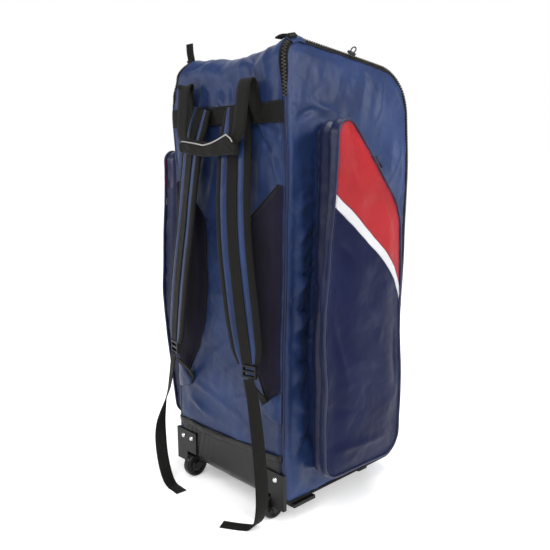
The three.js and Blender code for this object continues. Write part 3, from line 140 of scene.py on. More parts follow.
# The slouch of the filled bag. up: share of the body's height. Other values: shares of its width.
LEAN = table("up shift", [
    (0.00, -0.024), (0.12, -0.024), (0.30, -0.016), (0.55, 0.008), (0.72, 0.020), (0.88, 0.000),
    (1.00, 0.000),
])
TUCK = table("up left right", [
    (0.84, 0.000, 0.000), (0.90, 0.022, 0.000), (0.95, 0.062, 0.006), (1.00, 0.125, 0.022),
])
SAG = table("across drop", [
    (-1.00, 0.040), (-0.72, 0.058), (-0.38, 0.046), (-0.11, 0.088), (0.10, 0.080),
    (0.32, 0.050), (0.58, 0.066), (0.76, 0.036), (0.97, 0.004), (1.00, 0.000),
])
DENTS = {
    "right": table("along up push along_span up_span", [
        (0.00, 0.86, 0.026, 0.75, 0.10), (-0.68, 0.45, -0.020, 0.15, 0.26),
        (-0.80, 0.30, 0.010, 0.12, 0.05), (0.40, 0.20, 0.016, 0.45, 0.14),
    ]),
    "left": table("along up push along_span up_span", [
        (0.00, 0.86, 0.030, 0.75, 0.10), (-0.68, 0.45, -0.016, 0.15, 0.26), (0.40, 0.20, 0.016, 0.45, 0.14),
    ]),
    "front": table("along up push along_span up_span", [
        (0.00, 0.45, 0.040, 0.62, 0.30), (0.25, 0.72, -0.018, 0.34, 0.05),
        (-0.30, 0.24, -0.014, 0.30, 0.05),
    ]),
    "back": table("along up push along_span up_span", [
        (-0.05, 0.30, 0.014, 0.30, 0.10), (0.05, 0.17, -0.010, 0.45, 0.04),
        (-0.10, 0.93, -0.020, 0.40, 0.04),
    ]),
}

# Outlines of a side pocket at its root and at its face: shares of half depth, height and depth.
# sink: share of how far that pocket's filling has sunk.
POCKET = table("sink root_forward root_up root_radius face_forward face_up face_radius", [
    (0.00, -0.53, 0.056, 0.07, -0.74, 0.076, 0.09),
    (0.40, -0.54, 0.440, 0.80, -0.87, 0.440, 0.80),
    (1.00, -0.56, 0.862, 0.06, -0.72, 0.860, 0.06),
    (0.45, 0.40, 0.640, 0.33, 0.25, 0.640, 0.33),
    (0.00, 0.58, 0.056, 0.08, 0.46, 0.072, 0.11),
])
POCKET_OUT = table("up right left", [
    (0.05, 0.86, 0.88), (0.35, 0.98, 1.04), (0.62, 1.01, 1.18), (0.76, 1.02, 1.26), (0.85, 1.03, 1.22),
])
GUSSET = table("out swell", [(0.00, 0.00), (0.22, 0.07), (0.48, -0.09), (0.76, 0.06), (1.00, 0.00)])
STRIPE = table("along up width", [
    (0.00, 0.674, 1.00), (0.25, 0.626, 1.00), (0.65, 0.551, 1.00),
    (0.84, 0.508, 1.05), (0.95, 0.474, 1.10), (1.00, 0.454, 1.15),
])
PAD_EDGE = table("up inner outer", [
    (0.236, 0.75, 0.77), (0.250, 0.72, 0.84), (0.260, 0.70, 0.90), (0.268, 0.68, 0.936),
    (0.283, 0.64, 0.936), (0.305, 0.55, 0.936), (0.335, 0.46, 0.936), (0.380, 0.405, 0.936),
    (0.440, 0.36, 0.936), (0.500, 0.36, 0.936), (0.580, 0.38, 0.936), (0.625, 0.43, 0.936),
    (0.655, 0.62, 0.936), (0.700, 0.895, 0.936),
])
# Straps and webbings. out, off: shares of the half width. up: share of the body's height; for the
# tails, of the height where the strap ends.
STRAP = table("out off up turn width", [
    (0.300, 0.053, 0.862, 0, 0.72), (0.345, 0.100, 0.822, 5, 0.92), (0.380, 0.155, 0.771, 9, 1.00),
    (0.412, 0.215, 0.667, 12, 1.00), (0.465, 0.250, 0.581, 12, 1.00), (0.530, 0.268, 0.508, 12, 1.00),
    (0.595, 0.274, 0.429, 12, 1.00), (0.655, 0.270, 0.362, 12, 0.90), (0.680, 0.262, 0.330, 12, 0.66),
])
TAILS = {
    "right": table("out off up turn", [
        (0.705, 0.290, 0.914, 12), (0.755, 0.275, 0.800, 24), (0.805, 0.262, 0.600, 38),
        (0.845, 0.256, 0.400, 46), (0.868, 0.256, 0.245, 56), (0.860, 0.262, 0.140, 72),
        (0.815, 0.276, 0.056, 92), (0.735, 0.302, 0.013, 109), (0.650, 0.352, 0.005, 119),
        (0.540, 0.424, 0.005, 122), (0.425, 0.490, 0.005, 121),
    ]),
    "left": table("out off up turn", [
        (0.705, 0.290, 0.914, -12), (0.790, 0.312, 0.700, -24), (0.900, 0.324, 0.560, -48),
        (0.985, 0.334, 0.420, -86), (1.000, 0.340, 0.300, -116), (0.975, 0.344, 0.190, -124),
        (0.915, 0.348, 0.095, -116), (0.835, 0.354, 0.032, -102), (0.740, 0.362, 0.006, -92),
        (0.640, 0.370, 0.005, -90), (0.520, 0.378, 0.005, -90),
    ]),
}
ANCHOR = table("out off up turn width", [
    (0.700, 0.250, 0.2840, 0, 1.00), (0.690, 0.150, 0.2620, 0, 1.00), (0.685, 0.075, 0.2460, 6, 0.95),
    (0.695, 0.036, 0.2315, 26, 0.80), (0.735, 0.029, 0.2225, 58, 0.80), (0.785, 0.026, 0.2190, 84, 0.80),
])
# The navy wing that holds the anchor webbing. reach: distance from the middle. middle, half: heights.
WING = table("reach middle half", [
    (112, 229, 6), (126, 232, 13), (140, 235, 22), (154, 238, 30), (163, 239, 33),
])
HANDLE = table("out off up turn width sway", [
    (0.575, 0.030, 0.846, 0, 1.00, 0), (0.572, 0.040, 0.880, 0, 1.00, 0.05),
    (0.560, 0.080, 0.906, 0, 1.00, 0.3), (0.540, 0.130, 0.911, 0, 1.00, 0.6),
    (0.525, 0.178, 0.894, 0, 1.00, 0.85), (0.515, 0.212, 0.853, 0, 1.00, 1),
    (0.505, 0.238, 0.816, 18, 1.00, 1), (0.450, 0.252, 0.794, 62, 0.68, 1),
    (0.350, 0.258, 0.784, 86, 0.68, 1), (0.000, 0.262, 0.776, 90, 0.68, 1),
])

# Camera, fitted to the photograph: place in the bag's frame, angles, and focal length for 550 pixels
CAMERA_PLACE = (1031.98, -1020.76, 717.31)
CAMERA_YAW = math.radians(46.62)
CAMERA_PITCH = math.radians(10.19)
CAMERA_ROLL = math.radians(-0.53)
FOCAL_PIXELS = 673.3
FRAME_PIXELS = 550.0
SENSOR_WIDTH = 36.0


def frame_shift():
    """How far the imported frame's origin lies from the middle of the straight bag, from the wheels."""
    boxes = [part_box(f"wheel_{side}") for side, _ in SIDES]
    middle = sum(((low + high) / 2 for low, high in boxes), Vector()) / len(boxes) * 1000
    return np.array([middle.x - LEAN["shift"][0] * BODY_WIDTH, middle.y - WHEEL_Y, 0.0])


SHIFT = frame_shift()


def to_row(points):
    """Millimetres in the bag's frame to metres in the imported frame."""
    return (np.asarray(points, float) + SHIFT) * 0.001


def make_camera():
    yaw, pitch, roll = CAMERA_YAW, CAMERA_PITCH, CAMERA_ROLL
    forward = Vector((-math.sin(yaw) * math.cos(pitch), math.cos(yaw) * math.cos(pitch), -math.sin(pitch)))
    level = Vector((math.cos(yaw), math.sin(yaw), 0))
    above = level.cross(forward)
    right = level * math.cos(roll) + above * math.sin(roll)
    up = above * math.cos(roll) - level * math.sin(roll)
    data = bpy.data.cameras.new("camera")
    data.sensor_width = SENSOR_WIDTH
    data.lens = FOCAL_PIXELS * SENSOR_WIDTH / FRAME_PIXELS
    data.clip_start = 0.05
    data.clip_end = 50
    camera = bpy.data.objects.new("camera", data)
    turn = Matrix((right, up, -forward)).transposed().to_4x4()
    camera.matrix_world = Matrix.Translation(Vector(to_row(CAMERA_PLACE))) @ turn
    bpy.context.scene.collection.objects.link(camera)
    bpy.context.scene.camera = camera
    bpy.context.scene.view_settings.view_transform = "Standard"


# Readers of tables, and small shaping functions
def linear(rows, key, name, x):
    return np.interp(x, rows[key], rows[name])


def ease(share):
    held = np.clip(share, 0, 1)
    return held * held * (3 - 2 * held)


def eased(rows, key, name, x):
    keys, values = rows[key], rows[name]
    k = np.clip(np.searchsorted(keys, x, side="right") - 1, 0, len(keys) - 2)
    share = ease((x - keys[k]) / (keys[k + 1] - keys[k]))
    return values[k] + (values[k + 1] - values[k]) * share


def bell(offset, span):
    return np.exp(-(offset / span) ** 2)


def noise(x, y, cell, seed):
    """Smooth value noise from -1 to 1 with features of about one cell."""
    lattice = np.random.RandomState(seed).uniform(-1, 1, (128, 128))
    gx, gy = x / cell, y / cell
    ix, iy = np.floor(gx).astype(int), np.floor(gy).astype(int)
    fx, fy = ease(gx - ix), ease(gy - iy)
    a, b = lattice[ix % 128, iy % 128], lattice[(ix + 1) % 128, iy % 128]
    c, d = lattice[ix % 128, (iy + 1) % 128], lattice[(ix + 1) % 128, (iy + 1) % 128]
    return (a * (1 - fx) + b * fx) * (1 - fy) + (c * (1 - fx) + d * fx) * fy


def crumple(x, y, cell, seed, angle=0.0, stretch=1.0):
    """Soft folds with sharper crests than valleys, drawn out along a direction."""
    c, s = math.cos(angle), math.sin(angle)
    u, v = (x * c + y * s) / stretch, y * c - x * s
    bend = noise(u, v, cell * 1.7, seed + 1) * cell * 0.5
    first = 1 - 2 * np.abs(noise(u + bend, v + bend, cell, seed))
    second = 1 - 2 * np.abs(noise(u - bend, v + bend, cell * 0.52, seed + 2))
    return 0.7 * first + 0.3 * second


CREASE_COLUMNS = "x0 y0 x1 y1 width push"
FOLD_DEPTH = 2.6


def creases(rows, x, y):
    """Single folds: each runs from one place to another, with a width and a height."""
    total = np.zeros(np.broadcast(x, y).shape)
    for x0, y0, x1, y1, width, push in zip(*(rows[name] for name in CREASE_COLUMNS.split())):
        dx, dy = x1 - x0, y1 - y0
        along = ((x - x0) * dx + (y - y0) * dy) / (dx * dx + dy * dy)
        held = np.clip(along, 0, 1)
        away = np.hypot(x - x0 - held * dx, y - y0 - held * dy)
        fade = 0.35 + 0.65 * np.sin(np.pi * np.clip(along, 0, 1))
        crest = 0.6 * bell(away, width) + 0.4 * np.exp(-away / (0.4 * width))
        total += FOLD_DEPTH * push * fade * crest
    return total


# Where the sag and the dents set in, and over what span they reach their full size
SAG_START, SAG_SPAN = 0.84, 0.14
DENT_START, DENT_SPAN = 0.6, 0.35


def slouch(points):
    """Moves points of the straight bag to their places on the filled, slouching one."""
    points = np.asarray(points, float)
    x, y, z = points[..., 0], points[..., 1], points[..., 2]
    across, along, up = x / HALF_WIDTH, y / HALF_DEPTH, (z - BASE_HEIGHT) / BODY_HEIGHT
    tuck = np.where(across < 0, eased(TUCK, "up", "left", up), eased(TUCK, "up", "right", up))
    sag = eased(SAG, "across", "drop", across) * ease((up - SAG_START) / SAG_SPAN)
    near = {
        face: ease((toward - DENT_START) / DENT_SPAN)
        for face, toward in (("right", across), ("left", -across), ("back", -along), ("front", along))
    }
    out = {}
    for face, rows in DENTS.items():
        where = along if face in ("right", "left") else across
        total = np.zeros_like(x)
        for place, height, push, along_span, up_span in zip(*rows.values()):
            total = total + push * bell(where - place, along_span) * bell(up - height, up_span)
        out[face] = total * near[face]
    lean = eased(LEAN, "up", "shift", up)
    return np.stack([
        x + BODY_WIDTH * (lean - across * tuck + out["right"] - out["left"]),
        y + BODY_WIDTH * (out["front"] - out["back"]),
        z - BODY_WIDTH * sag,
    ], -1)


class Outline:
    """A closed outline with round corners in (y, z), walked clockwise seen from +X."""

    def __init__(self, corners):
        count = len(corners)
        places = [np.array(corner[:2], float) for corner in corners]
        self.bends = []
        for i, corner in enumerate(corners):
            into = places[i] - places[i - 1]
            into = into / np.linalg.norm(into)
            onward = places[(i + 1) % count] - places[i]
            span = np.linalg.norm(onward)
            onward = onward / span
            turn = math.acos(min(1.0, float(into @ onward)))
            tangent = corner[2] * math.tan(turn / 2)
            normal = np.array([-into[1], into[0]])
            start = places[i] - into * tangent
            self.bends.append({
                "r": corner[2], "turn": turn, "tangent": tangent, "span": span, "onward": onward,
                "normal": normal, "centre": start - normal * corner[2], "end": places[i] + onward * tangent,
            })
        self.walks, self.middles, self.lines, length = [], [0.0], [], 0.0
        for i, bend in enumerate(self.bends):
            after = self.bends[(i + 1) % count]
            for kind, item, size, gone in (
                ("arc", bend, bend["r"] * bend["turn"] / 2, bend["turn"] / 2),
                ("line", bend, bend["span"] - bend["tangent"] - after["tangent"], 0.0),
                ("arc", after, after["r"] * after["turn"] / 2, 0.0),
            ):
                if kind == "line":
                    self.lines.append(length)
                self.walks.append((length, length + size, kind, item, gone))
                length += size
            self.middles.append(length)
        self.length = length

    def at(self, s, offset=0.0):
        """Points (y, z) at walks s, a distance outside the outline."""
        place = np.mod(s, self.length)
        offset = np.broadcast_to(np.asarray(offset, float), place.shape)
        y, z = np.zeros(place.shape), np.zeros(place.shape)
        for start, end, kind, bend, gone in self.walks:
            here = (place >= start) & (place <= end)
            far, lift = place[here] - start, offset[here]
            if kind == "line":
                oy, oz = bend["onward"]
                y[here] = bend["end"][0] + oy * far - oz * lift
                z[here] = bend["end"][1] + oz * far + oy * lift
            else:
                angle = -(gone + far / bend["r"])
                ny, nz = bend["normal"]
                c, sn = np.cos(angle), np.sin(angle)
                y[here] = bend["centre"][0] + (ny * c - nz * sn) * (bend["r"] + lift)
                z[here] = bend["centre"][1] + (ny * sn + nz * c) * (bend["r"] + lift)
        return y, z

    def on(self, edge, share):
        return self.lines[edge] + share * self.bends[edge]["span"] - self.bends[edge]["tangent"]


PROFILE = Outline([
    (-HALF_DEPTH, BASE_HEIGHT, CORNER_RADII[0]), (-HALF_DEPTH, BACK_TOP, CORNER_RADII[1]),
    (HALF_DEPTH, FRONT_TOP, CORNER_RADII[2]), (HALF_DEPTH, BASE_HEIGHT, CORNER_RADII[3]),
])


def back_at(z):
    return PROFILE.on(0, (z - BASE_HEIGHT) / BODY_HEIGHT)


def front_at(z):
    return PROFILE.on(2, (FRONT_TOP - z) / (FRONT_TOP - BASE_HEIGHT))


def under_at(y):
    return PROFILE.on(3, (HALF_DEPTH - y) / BODY_DEPTH)


def edge_point(sign, s, angle, lift):
    """Point on the quarter round of a side edge: angle 0 at the cloth round the bag, 90 at the side."""
    reach = SEAM_RADIUS + lift
    y, z = PROFILE.at(s, -SEAM_RADIUS + reach * np.cos(angle))
    x = sign * (FLAT_REACH + reach * np.sin(angle))
    return slouch(np.stack([np.broadcast_to(x, y.shape), y, z], -1))


def cloth_point(s, reach, lift):
    """Point on the cloth that goes round the bag, from the middle plane out and on round the edge."""
    over = np.maximum(np.abs(reach) - FLAT_REACH, 0) / SEAM_RADIUS
    radius = SEAM_RADIUS + lift
    y, z = PROFILE.at(s, -SEAM_RADIUS + radius * np.cos(over))
    flat = np.minimum(np.abs(reach), FLAT_REACH)
    x = np.sign(reach) * (flat + radius * np.sin(over))
    return slouch(np.stack([x, y, z], -1))


# Materials
def new_material(name):
    material = bpy.data.materials.new(name)
    material.use_nodes = True
    tree = material.node_tree
    tree.nodes.clear()
    output = tree.nodes.new("ShaderNodeOutputMaterial")
    shader = tree.nodes.new("ShaderNodeBsdfPrincipled")
    tree.links.new(shader.outputs["BSDF"], output.inputs["Surface"])
    return material, tree, shader


def math_node(tree, operation, *inputs):
    node = tree.nodes.new("ShaderNodeMath")
    node.operation = operation
    for socket, value in zip(node.inputs, inputs):
        if isinstance(value, (int, float)):
            socket.default_value = value
        else:
            tree.links.new(value, socket)
    return node.outputs[0]


def noise_node(tree, coordinates, scale, detail=3.0, roughness=0.55):
    node = tree.nodes.new("ShaderNodeTexNoise")
    node.inputs["Scale"].default_value = scale
    node.inputs["Detail"].default_value = detail
    node.inputs["Roughness"].default_value = roughness
    tree.links.new(coordinates, node.inputs["Vector"])
    return node.outputs["Fac"]


def ranged(tree, value, low, high, start=0.3, end=0.7):
    node = tree.nodes.new("ShaderNodeMapRange")
    node.inputs["From Min"].default_value = start
    node.inputs["From Max"].default_value = end
    node.inputs["To Min"].default_value = low
    node.inputs["To Max"].default_value = high
    tree.links.new(value, node.inputs["Value"])
    return node.outputs["Result"]


def mixed_colour(tree, share, first, second):
    node = tree.nodes.new("ShaderNodeMix")
    node.data_type = "RGBA"
    tree.links.new(share, node.inputs["Factor"])
    node.inputs["A"].default_value = (*first, 1)
    node.inputs["B"].default_value = (*second, 1)
    return node.outputs["Result"]


def bumped(tree, height, strength, distance, normal=None):
    node = tree.nodes.new("ShaderNodeBump")
    node.inputs["Strength"].default_value = strength
    node.inputs["Distance"].default_value = distance
    tree.links.new(height, node.inputs["Height"])
    if normal is not None:
        tree.links.new(normal, node.inputs["Normal"])
    return node.outputs["Normal"]


def uv_axes(tree):
    uv = tree.nodes.new("ShaderNodeUVMap")
    uv.uv_map = "cloth"
    split = tree.nodes.new("ShaderNodeSeparateXYZ")
    tree.links.new(uv.outputs["UV"], split.inputs["Vector"])
    return split.outputs["X"], split.outputs["Y"]


def object_place(tree):
    return tree.nodes.new("ShaderNodeTexCoord").outputs["Object"]


def waves(tree, value, pitch):
    return math_node(tree, "SINE", math_node(tree, "MULTIPLY", value, 2 * math.pi / pitch))


# Strength of reflections and sheen
HARD_SPECULAR = 0.24
CLOTH_SHEEN = 0.03
DULL_SPECULAR = 0.14


def finish_shader(tree, shader, colour, rough, normal, specular, sheen=0.0):
    """Links the patterns to a shader, and sets its plain numbers."""
    for socket, value in (("Base Color", colour), ("Roughness", rough), ("Normal", normal)):
        tree.links.new(value, shader.inputs[socket])
    shader.inputs["Specular IOR Level"].default_value = specular
    shader.inputs["Sheen Weight"].default_value = sheen


def cloth_material(name, lit, deep, roughness, pitch, gloss, wrinkles):
    """Woven cloth: a plain weave, patches of deeper colour, fine creases and a soft sheen."""
    material, tree, shader = new_material(name)
    place = object_place(tree)
    u, v = uv_axes(tree)
    warp, weft = waves(tree, u, pitch), waves(tree, v, pitch)
    weave = math_node(tree, "MULTIPLY", warp, weft)
    broad = noise_node(tree, place, 9.0, 4.0)
    colour = mixed_colour(tree, ranged(tree, broad, 0.0, 1.0), deep, lit)
    threads = tree.nodes.new("ShaderNodeMix")
    threads.data_type = "RGBA"
    threads.blend_type = "MULTIPLY"
    tree.links.new(ranged(tree, weave, 0.0, 0.22, -1.0, 1.0), threads.inputs["Factor"])
    tree.links.new(colour, threads.inputs["A"])
    threads.inputs["B"].default_value = (0.55, 0.55, 0.6, 1)
    rough = ranged(tree, noise_node(tree, place, 24.0), roughness - 0.06, roughness + 0.08)
    hills = math_node(tree, "SUBTRACT", noise_node(tree, place, 8.0, 3.0, 0.5), 0.5)
    ridge = math_node(tree, "MINIMUM", math_node(tree, "ABSOLUTE", hills), 0.07)
    wrinkled = bumped(tree, ridge, 0.6, wrinkles)
    soft = bumped(tree, noise_node(tree, place, 70.0, 5.0, 0.6), 0.4, 0.0011, wrinkled)
    woven = bumped(tree, weave, 0.3, pitch * 0.12, soft)
    finish_shader(tree, shader, threads.outputs["Result"], rough, woven, gloss, CLOTH_SHEEN)
    shader.inputs["Sheen Roughness"].default_value = 0.4
    return material


def webbing_material(name, lit, deep, rib):
    """Webbing: ribs across its length, a herringbone along it and paler worn threads."""
    material, tree, shader = new_material(name)
    place = object_place(tree)
    u, v = uv_axes(tree)
    zigzag = math_node(tree, "ABSOLUTE", waves(tree, u, rib * 4))
    slanted = math_node(tree, "ADD", v, math_node(tree, "MULTIPLY", zigzag, rib * 0.5))
    ribs = waves(tree, slanted, rib)
    threads = math_node(tree, "MULTIPLY", ribs, waves(tree, u, rib * 0.6))
    thread_shade = math_node(tree, "MULTIPLY", threads, 0.08)
    worn = math_node(tree, "ADD", noise_node(tree, place, 60.0, 5.0), thread_shade)
    colour = mixed_colour(tree, ranged(tree, worn, 0.0, 1.0), deep, lit)
    soft = bumped(tree, noise_node(tree, place, 120.0), 0.3, 0.0006)
    ribbed = bumped(tree, ribs, 0.5, 0.0004, soft)
    finish_shader(tree, shader, colour, ranged(tree, worn, 0.62, 0.85), ribbed, DULL_SPECULAR, CLOTH_SHEEN)
    return material


def mesh_material(name, lit, deep, pitch):
    """Spacer mesh: staggered round holes over dark foam."""
    material, tree, shader = new_material(name)
    place = object_place(tree)
    u, v = uv_axes(tree)
    holes = math_node(tree, "MULTIPLY", waves(tree, u, pitch), waves(tree, v, pitch))
    slanted = [
        waves(tree, math_node(tree, operation, u, v), pitch * 1.41) for operation in ("ADD", "SUBTRACT")
    ]
    grid = math_node(tree, "MAXIMUM", holes, math_node(tree, "MULTIPLY", *slanted))
    shade = math_node(tree, "ADD", noise_node(tree, place, 14.0), math_node(tree, "MULTIPLY", grid, 0.12))
    colour = mixed_colour(tree, ranged(tree, shade, 0.0, 1.0, 0.3, 0.75), deep, lit)
    rough = ranged(tree, shade, 0.8, 0.95)
    finish_shader(tree, shader, colour, rough, bumped(tree, grid, 0.6, 0.0005), DULL_SPECULAR, CLOTH_SHEEN)
    return material


def grained_material(name, lit, deep, roughness, grain, bump, metallic):
    """Coated cloth, moulded plastic, rubber or metal: a fine grain with scuffed, duller places; on the zip
    coil the paler places are painted glints.
    """
    material, tree, shader = new_material(name)
    place = object_place(tree)
    cells = tree.nodes.new("ShaderNodeTexVoronoi")
    cells.inputs["Scale"].default_value = grain
    tree.links.new(place, cells.inputs["Vector"])
    scuff_and_glint = noise_node(tree, place, 35.0, 6.0, 0.65)
    colour = mixed_colour(tree, ranged(tree, scuff_and_glint, 0.0, 1.0), deep, lit)
    rough = ranged(tree, scuff_and_glint, roughness - 0.07, roughness + 0.1)
    soft = bumped(tree, scuff_and_glint, 0.25, 0.0008)
    grained = bumped(tree, cells.outputs["Distance"], 0.4, bump, soft)
    finish_shader(tree, shader, colour, rough, grained, HARD_SPECULAR)
    shader.inputs["Metallic"].default_value = metallic
    return material


# Lit and deep colours of each material. Cloths: roughness, thread pitch, gloss, depth of its wrinkles
CLOTHS = {
    "navy": ("navy_nylon", (0.0170, 0.0370, 0.1160), (0.0082, 0.0180, 0.0620), 0.37, 0.0026, 0.23, 0.015),
    "dark_navy": (
        "dark_navy_nylon", (0.0085, 0.013, 0.050), (0.0048, 0.0074, 0.033), 0.36, 0.0026, 0.30, 0.015,
    ),
    "pocket_navy": (
        "pocket_navy_nylon", (0.0062, 0.0092, 0.040), (0.0038, 0.0058, 0.027), 0.33, 0.0026, 0.06, 0.015,
    ),
    "red": ("red_nylon", (0.320, 0.0095, 0.0140), (0.235, 0.0062, 0.0095), 0.42, 0.0026, 0.15, 0.015),
    "white": ("white_nylon", (0.54, 0.54, 0.55), (0.47, 0.47, 0.48), 0.5, 0.0011, 0.2, 0.002),
    # Sewing thread, paler than the navy cloth: real thread, and on the seam stitches also a painted
    # highlight along the piping
    "thread": ("sewing_thread_and_seam_highlight", (0.035, 0.065, 0.160), (0.020, 0.038, 0.100), 0.5, 0.0004, 0.3, 0.0),
    "black_thread": ("black_thread", (0.020, 0.019, 0.017), (0.008, 0.008, 0.007), 0.55, 0.0004, 0.3, 0.0),
    "pale_thread": ("pale_piping", (0.36, 0.35, 0.34), (0.24, 0.235, 0.23), 0.5, 0.0006, 0.3, 0.0),
}
# Webbings: pitch of the ribs
WEBBINGS = {
    "webbing": ("black_webbing", (0.0085, 0.0078, 0.0068), (0.0030, 0.0028, 0.0026), 0.0022),
    "binding": ("edge_binding", (0.0075, 0.0070, 0.0060), (0.0030, 0.0028, 0.0026), 0.0012),
    "tape": ("zip_tape", (0.0060, 0.0057, 0.0054), (0.0025, 0.0025, 0.0025), 0.0010),
}
# Grained materials: roughness, grains per metre, depth of the grain, share of metal
GRAINED = {
    # Zip coil: black, with grey-brown patches mixed in as painted glints
    "coil_with_glints": ("zip_coil_and_painted_glints", (0.09, 0.078, 0.070), (0.012, 0.011, 0.010), 0.30, 900, 0.0001, 0.0),
    "vinyl": ("charcoal_vinyl", (0.0090, 0.0090, 0.0095), (0.0045, 0.0045, 0.0048), 0.34, 520, 0.0004, 0.0),
    "plastic": ("black_plastic", (0.007, 0.007, 0.0072), (0.0035, 0.0035, 0.0037), 0.38, 900, 0.0002, 0.0),
    "hub": ("wheel_hub_plastic", (0.007, 0.007, 0.0072), (0.0035, 0.0035, 0.0035), 0.26, 700, 0.0001, 0.0),
    "rubber": ("wheel_rubber", (0.0050, 0.0050, 0.0050), (0.0025, 0.0025, 0.0025), 0.28, 600, 0.0002, 0.0),
    "steel": ("polished_steel", (0.72, 0.72, 0.71), (0.50, 0.50, 0.49), 0.22, 400, 0.0001, 1.0),
}
MATERIALS = {
    "mesh": mesh_material("pad_mesh", (0.0100, 0.0082, 0.0215), (0.0036, 0.0029, 0.0085), 0.0026),
    **{key: cloth_material(*row) for key, row in CLOTHS.items()},
    **{key: webbing_material(*row) for key, row in WEBBINGS.items()},
    **{key: grained_material(*row) for key, row in GRAINED.items()},
}


# Meshes
def mesh_object(name, points, faces, uvs, material, body="bag", smooth=True):
    """A piece from points in the bag's frame. uvs: one pair per point, in millimetres along the cloth."""
    mesh = bpy.data.meshes.new(name)
    mesh.from_pydata(to_row(points).tolist(), [], faces)
    layer = mesh.uv_layers.new(name="cloth")
    corners = np.zeros(len(mesh.loops), int)
    mesh.loops.foreach_get("vertex_index", corners)
    layer.data.foreach_set("uv", (np.asarray(uvs, float)[corners] * 0.001).ravel())
    mesh.polygons.foreach_set("use_smooth", [smooth] * len(mesh.polygons))
    mesh.update()
    piece = bpy.data.objects.new(f"{name}_look", mesh)
    bpy.context.scene.collection.objects.link(piece)
    piece.data.materials.append(MATERIALS[material])
    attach(piece, body)
    return piece


def grid_faces(rows, columns, wrap_rows=False, wrap_columns=False):
    faces = []
    for i in range(rows if wrap_rows else rows - 1):
        for j in range(columns if wrap_columns else columns - 1):
            a, b = i * columns + j, ((i + 1) % rows) * columns + j
            c, d = ((i + 1) % rows) * columns + (j + 1) % columns, i * columns + (j + 1) % columns
            faces.append((a, b, c, d))
    return faces


def solidify(piece, wall):
    modifier = piece.modifiers.new("wall", "SOLIDIFY")
    modifier.thickness = wall * 0.001
    modifier.offset = -1
    return piece


def uv_pairs(across, along):
    return np.stack(np.broadcast_arrays(across, along), -1).reshape(-1, 2)


def mesh_grid(first, second):
    return np.meshgrid(first, second, indexing="ij")


def patch(name, points, across, along, material, wall, flip=False, wrap=False):
    """A piece of cloth from a grid of points and its two measures. flip: its outside turned round."""
    faces = grid_faces(*points.shape[:2], wrap)
    if flip:
        faces = [face[::-1] for face in faces]
    uvs = uv_pairs(across, along)
    return solidify(mesh_object(name, points.reshape(-1, 3), faces, uvs, material), wall)


def end_faces(rows, count):
    """The two faces that close a tube of rings."""
    last = (rows - 1) * count
    return [tuple(range(count))[::-1], tuple(range(last, last + count))]


def cloth_sheet(name, us, vs, surface, relief, wall, material, base=0.0):
    """Cloth over two lists of values. surface(u, v, lift) gives points, relief(u, v) its folds."""
    u, v = mesh_grid(us, vs)
    lift = base + relief(u, v)
    points = surface(u, v, lift)
    i, j = len(us) // 2, len(vs) // 2
    out = surface(u, v, lift + 1)[i, j] - points[i, j]
    normal = np.cross(points[i + 1, j] - points[i, j], points[i, j + 1] - points[i, j])
    return patch(name, points, v, u, material, wall, normal @ out < 0)


def spread(start, end, step):
    return np.linspace(start, end, max(2, int(round(abs(end - start) / step)) + 1))


def walked(path):
    """How far along a path each of its points lies."""
    return np.concatenate([[0], np.cumsum(np.linalg.norm(np.diff(path, axis=0), axis=1))])


def unit(vectors):
    return vectors / np.linalg.norm(vectors, axis=1)[:, None]


def read_along(values, gone, places):
    """Rows of values at places along a path."""
    return np.stack([np.interp(places, gone, values[:, k]) for k in range(3)], -1)


def tube(name, path, radius, material, sides=10, closed=False):
    """A round cord along a path of points."""
    path = np.asarray(path, float)
    if closed:
        ahead, behind = np.roll(path, -1, 0), np.roll(path, 1, 0)
    else:
        ahead = np.vstack([path[1:], path[-1:]])
        behind = np.vstack([path[:1], path[:-1]])
    tangent = unit(ahead - behind)
    side = np.cross(tangent[0], [0.3, 0.2, 0.93])
    frames = []
    for direction in tangent:
        side = side - direction * (side @ direction)
        side = side / np.linalg.norm(side)
        frames.append((side, np.cross(direction, side)))
    angles = np.linspace(0, 2 * math.pi, sides, endpoint=False)
    rings = np.array([
        point + radius * (np.outer(np.cos(angles), a) + np.outer(np.sin(angles), b))
        for point, (a, b) in zip(path, frames)
    ])
    faces = grid_faces(len(path), sides, closed, True)
    if not closed:
        faces += end_faces(len(path), sides)
    uvs = uv_pairs(angles[None] * radius, walked(path)[:, None])
    faces = [face[::-1] for face in faces]
    return mesh_object(name, rings.reshape(-1, 3), faces, uvs, material)


def walk_along(path, pitch, start=0.0, end=0.0):
    """Places every pitch along a path: points and directions."""
    path = np.asarray(path, float)
    gone = walked(path)
    places = np.arange(start, gone[-1] - end, pitch)
    points = read_along(path, gone, places)
    nearby = pitch * 0.3
    direction = read_along(path, gone, places + nearby) - read_along(path, gone, places - nearby)
    size = np.linalg.norm(direction, axis=1)
    return points[size > 0], direction[size > 0] / size[size > 0][:, None], places[size > 0]


BLOCK = np.array([
    (-1, -1, -0.2), (-1, 1, -0.2), (-0.7, 0.7, 1), (-0.7, -0.7, 1),
    (1, -1, -0.2), (1, 1, -0.2), (0.7, 0.7, 1), (0.7, -0.7, 1),
])
BLOCK_FACES = ((0, 3, 2, 1), (4, 5, 6, 7), (0, 4, 7, 3), (1, 2, 6, 5), (3, 7, 6, 2), (0, 1, 5, 4))


def blocks(points, directions, outs, length, width, height, skew=0.0):
    """Small rounded blocks, such as stitches or zip teeth, set on a path."""
    across = unit(np.cross(outs, directions))
    outs = np.cross(directions, across)
    along = directions + across * skew
    corners = (
        points[:, None]
        + along[:, None] * (BLOCK[None, :, :1] * length / 2)
        + across[:, None] * (BLOCK[None, :, 1:2] * width / 2)
        + outs[:, None] * (BLOCK[None, :, 2:] * height)
    ).reshape(-1, 3)
    faces = [tuple(8 * k + i for i in face) for k in range(len(points)) for face in BLOCK_FACES]
    return corners, faces


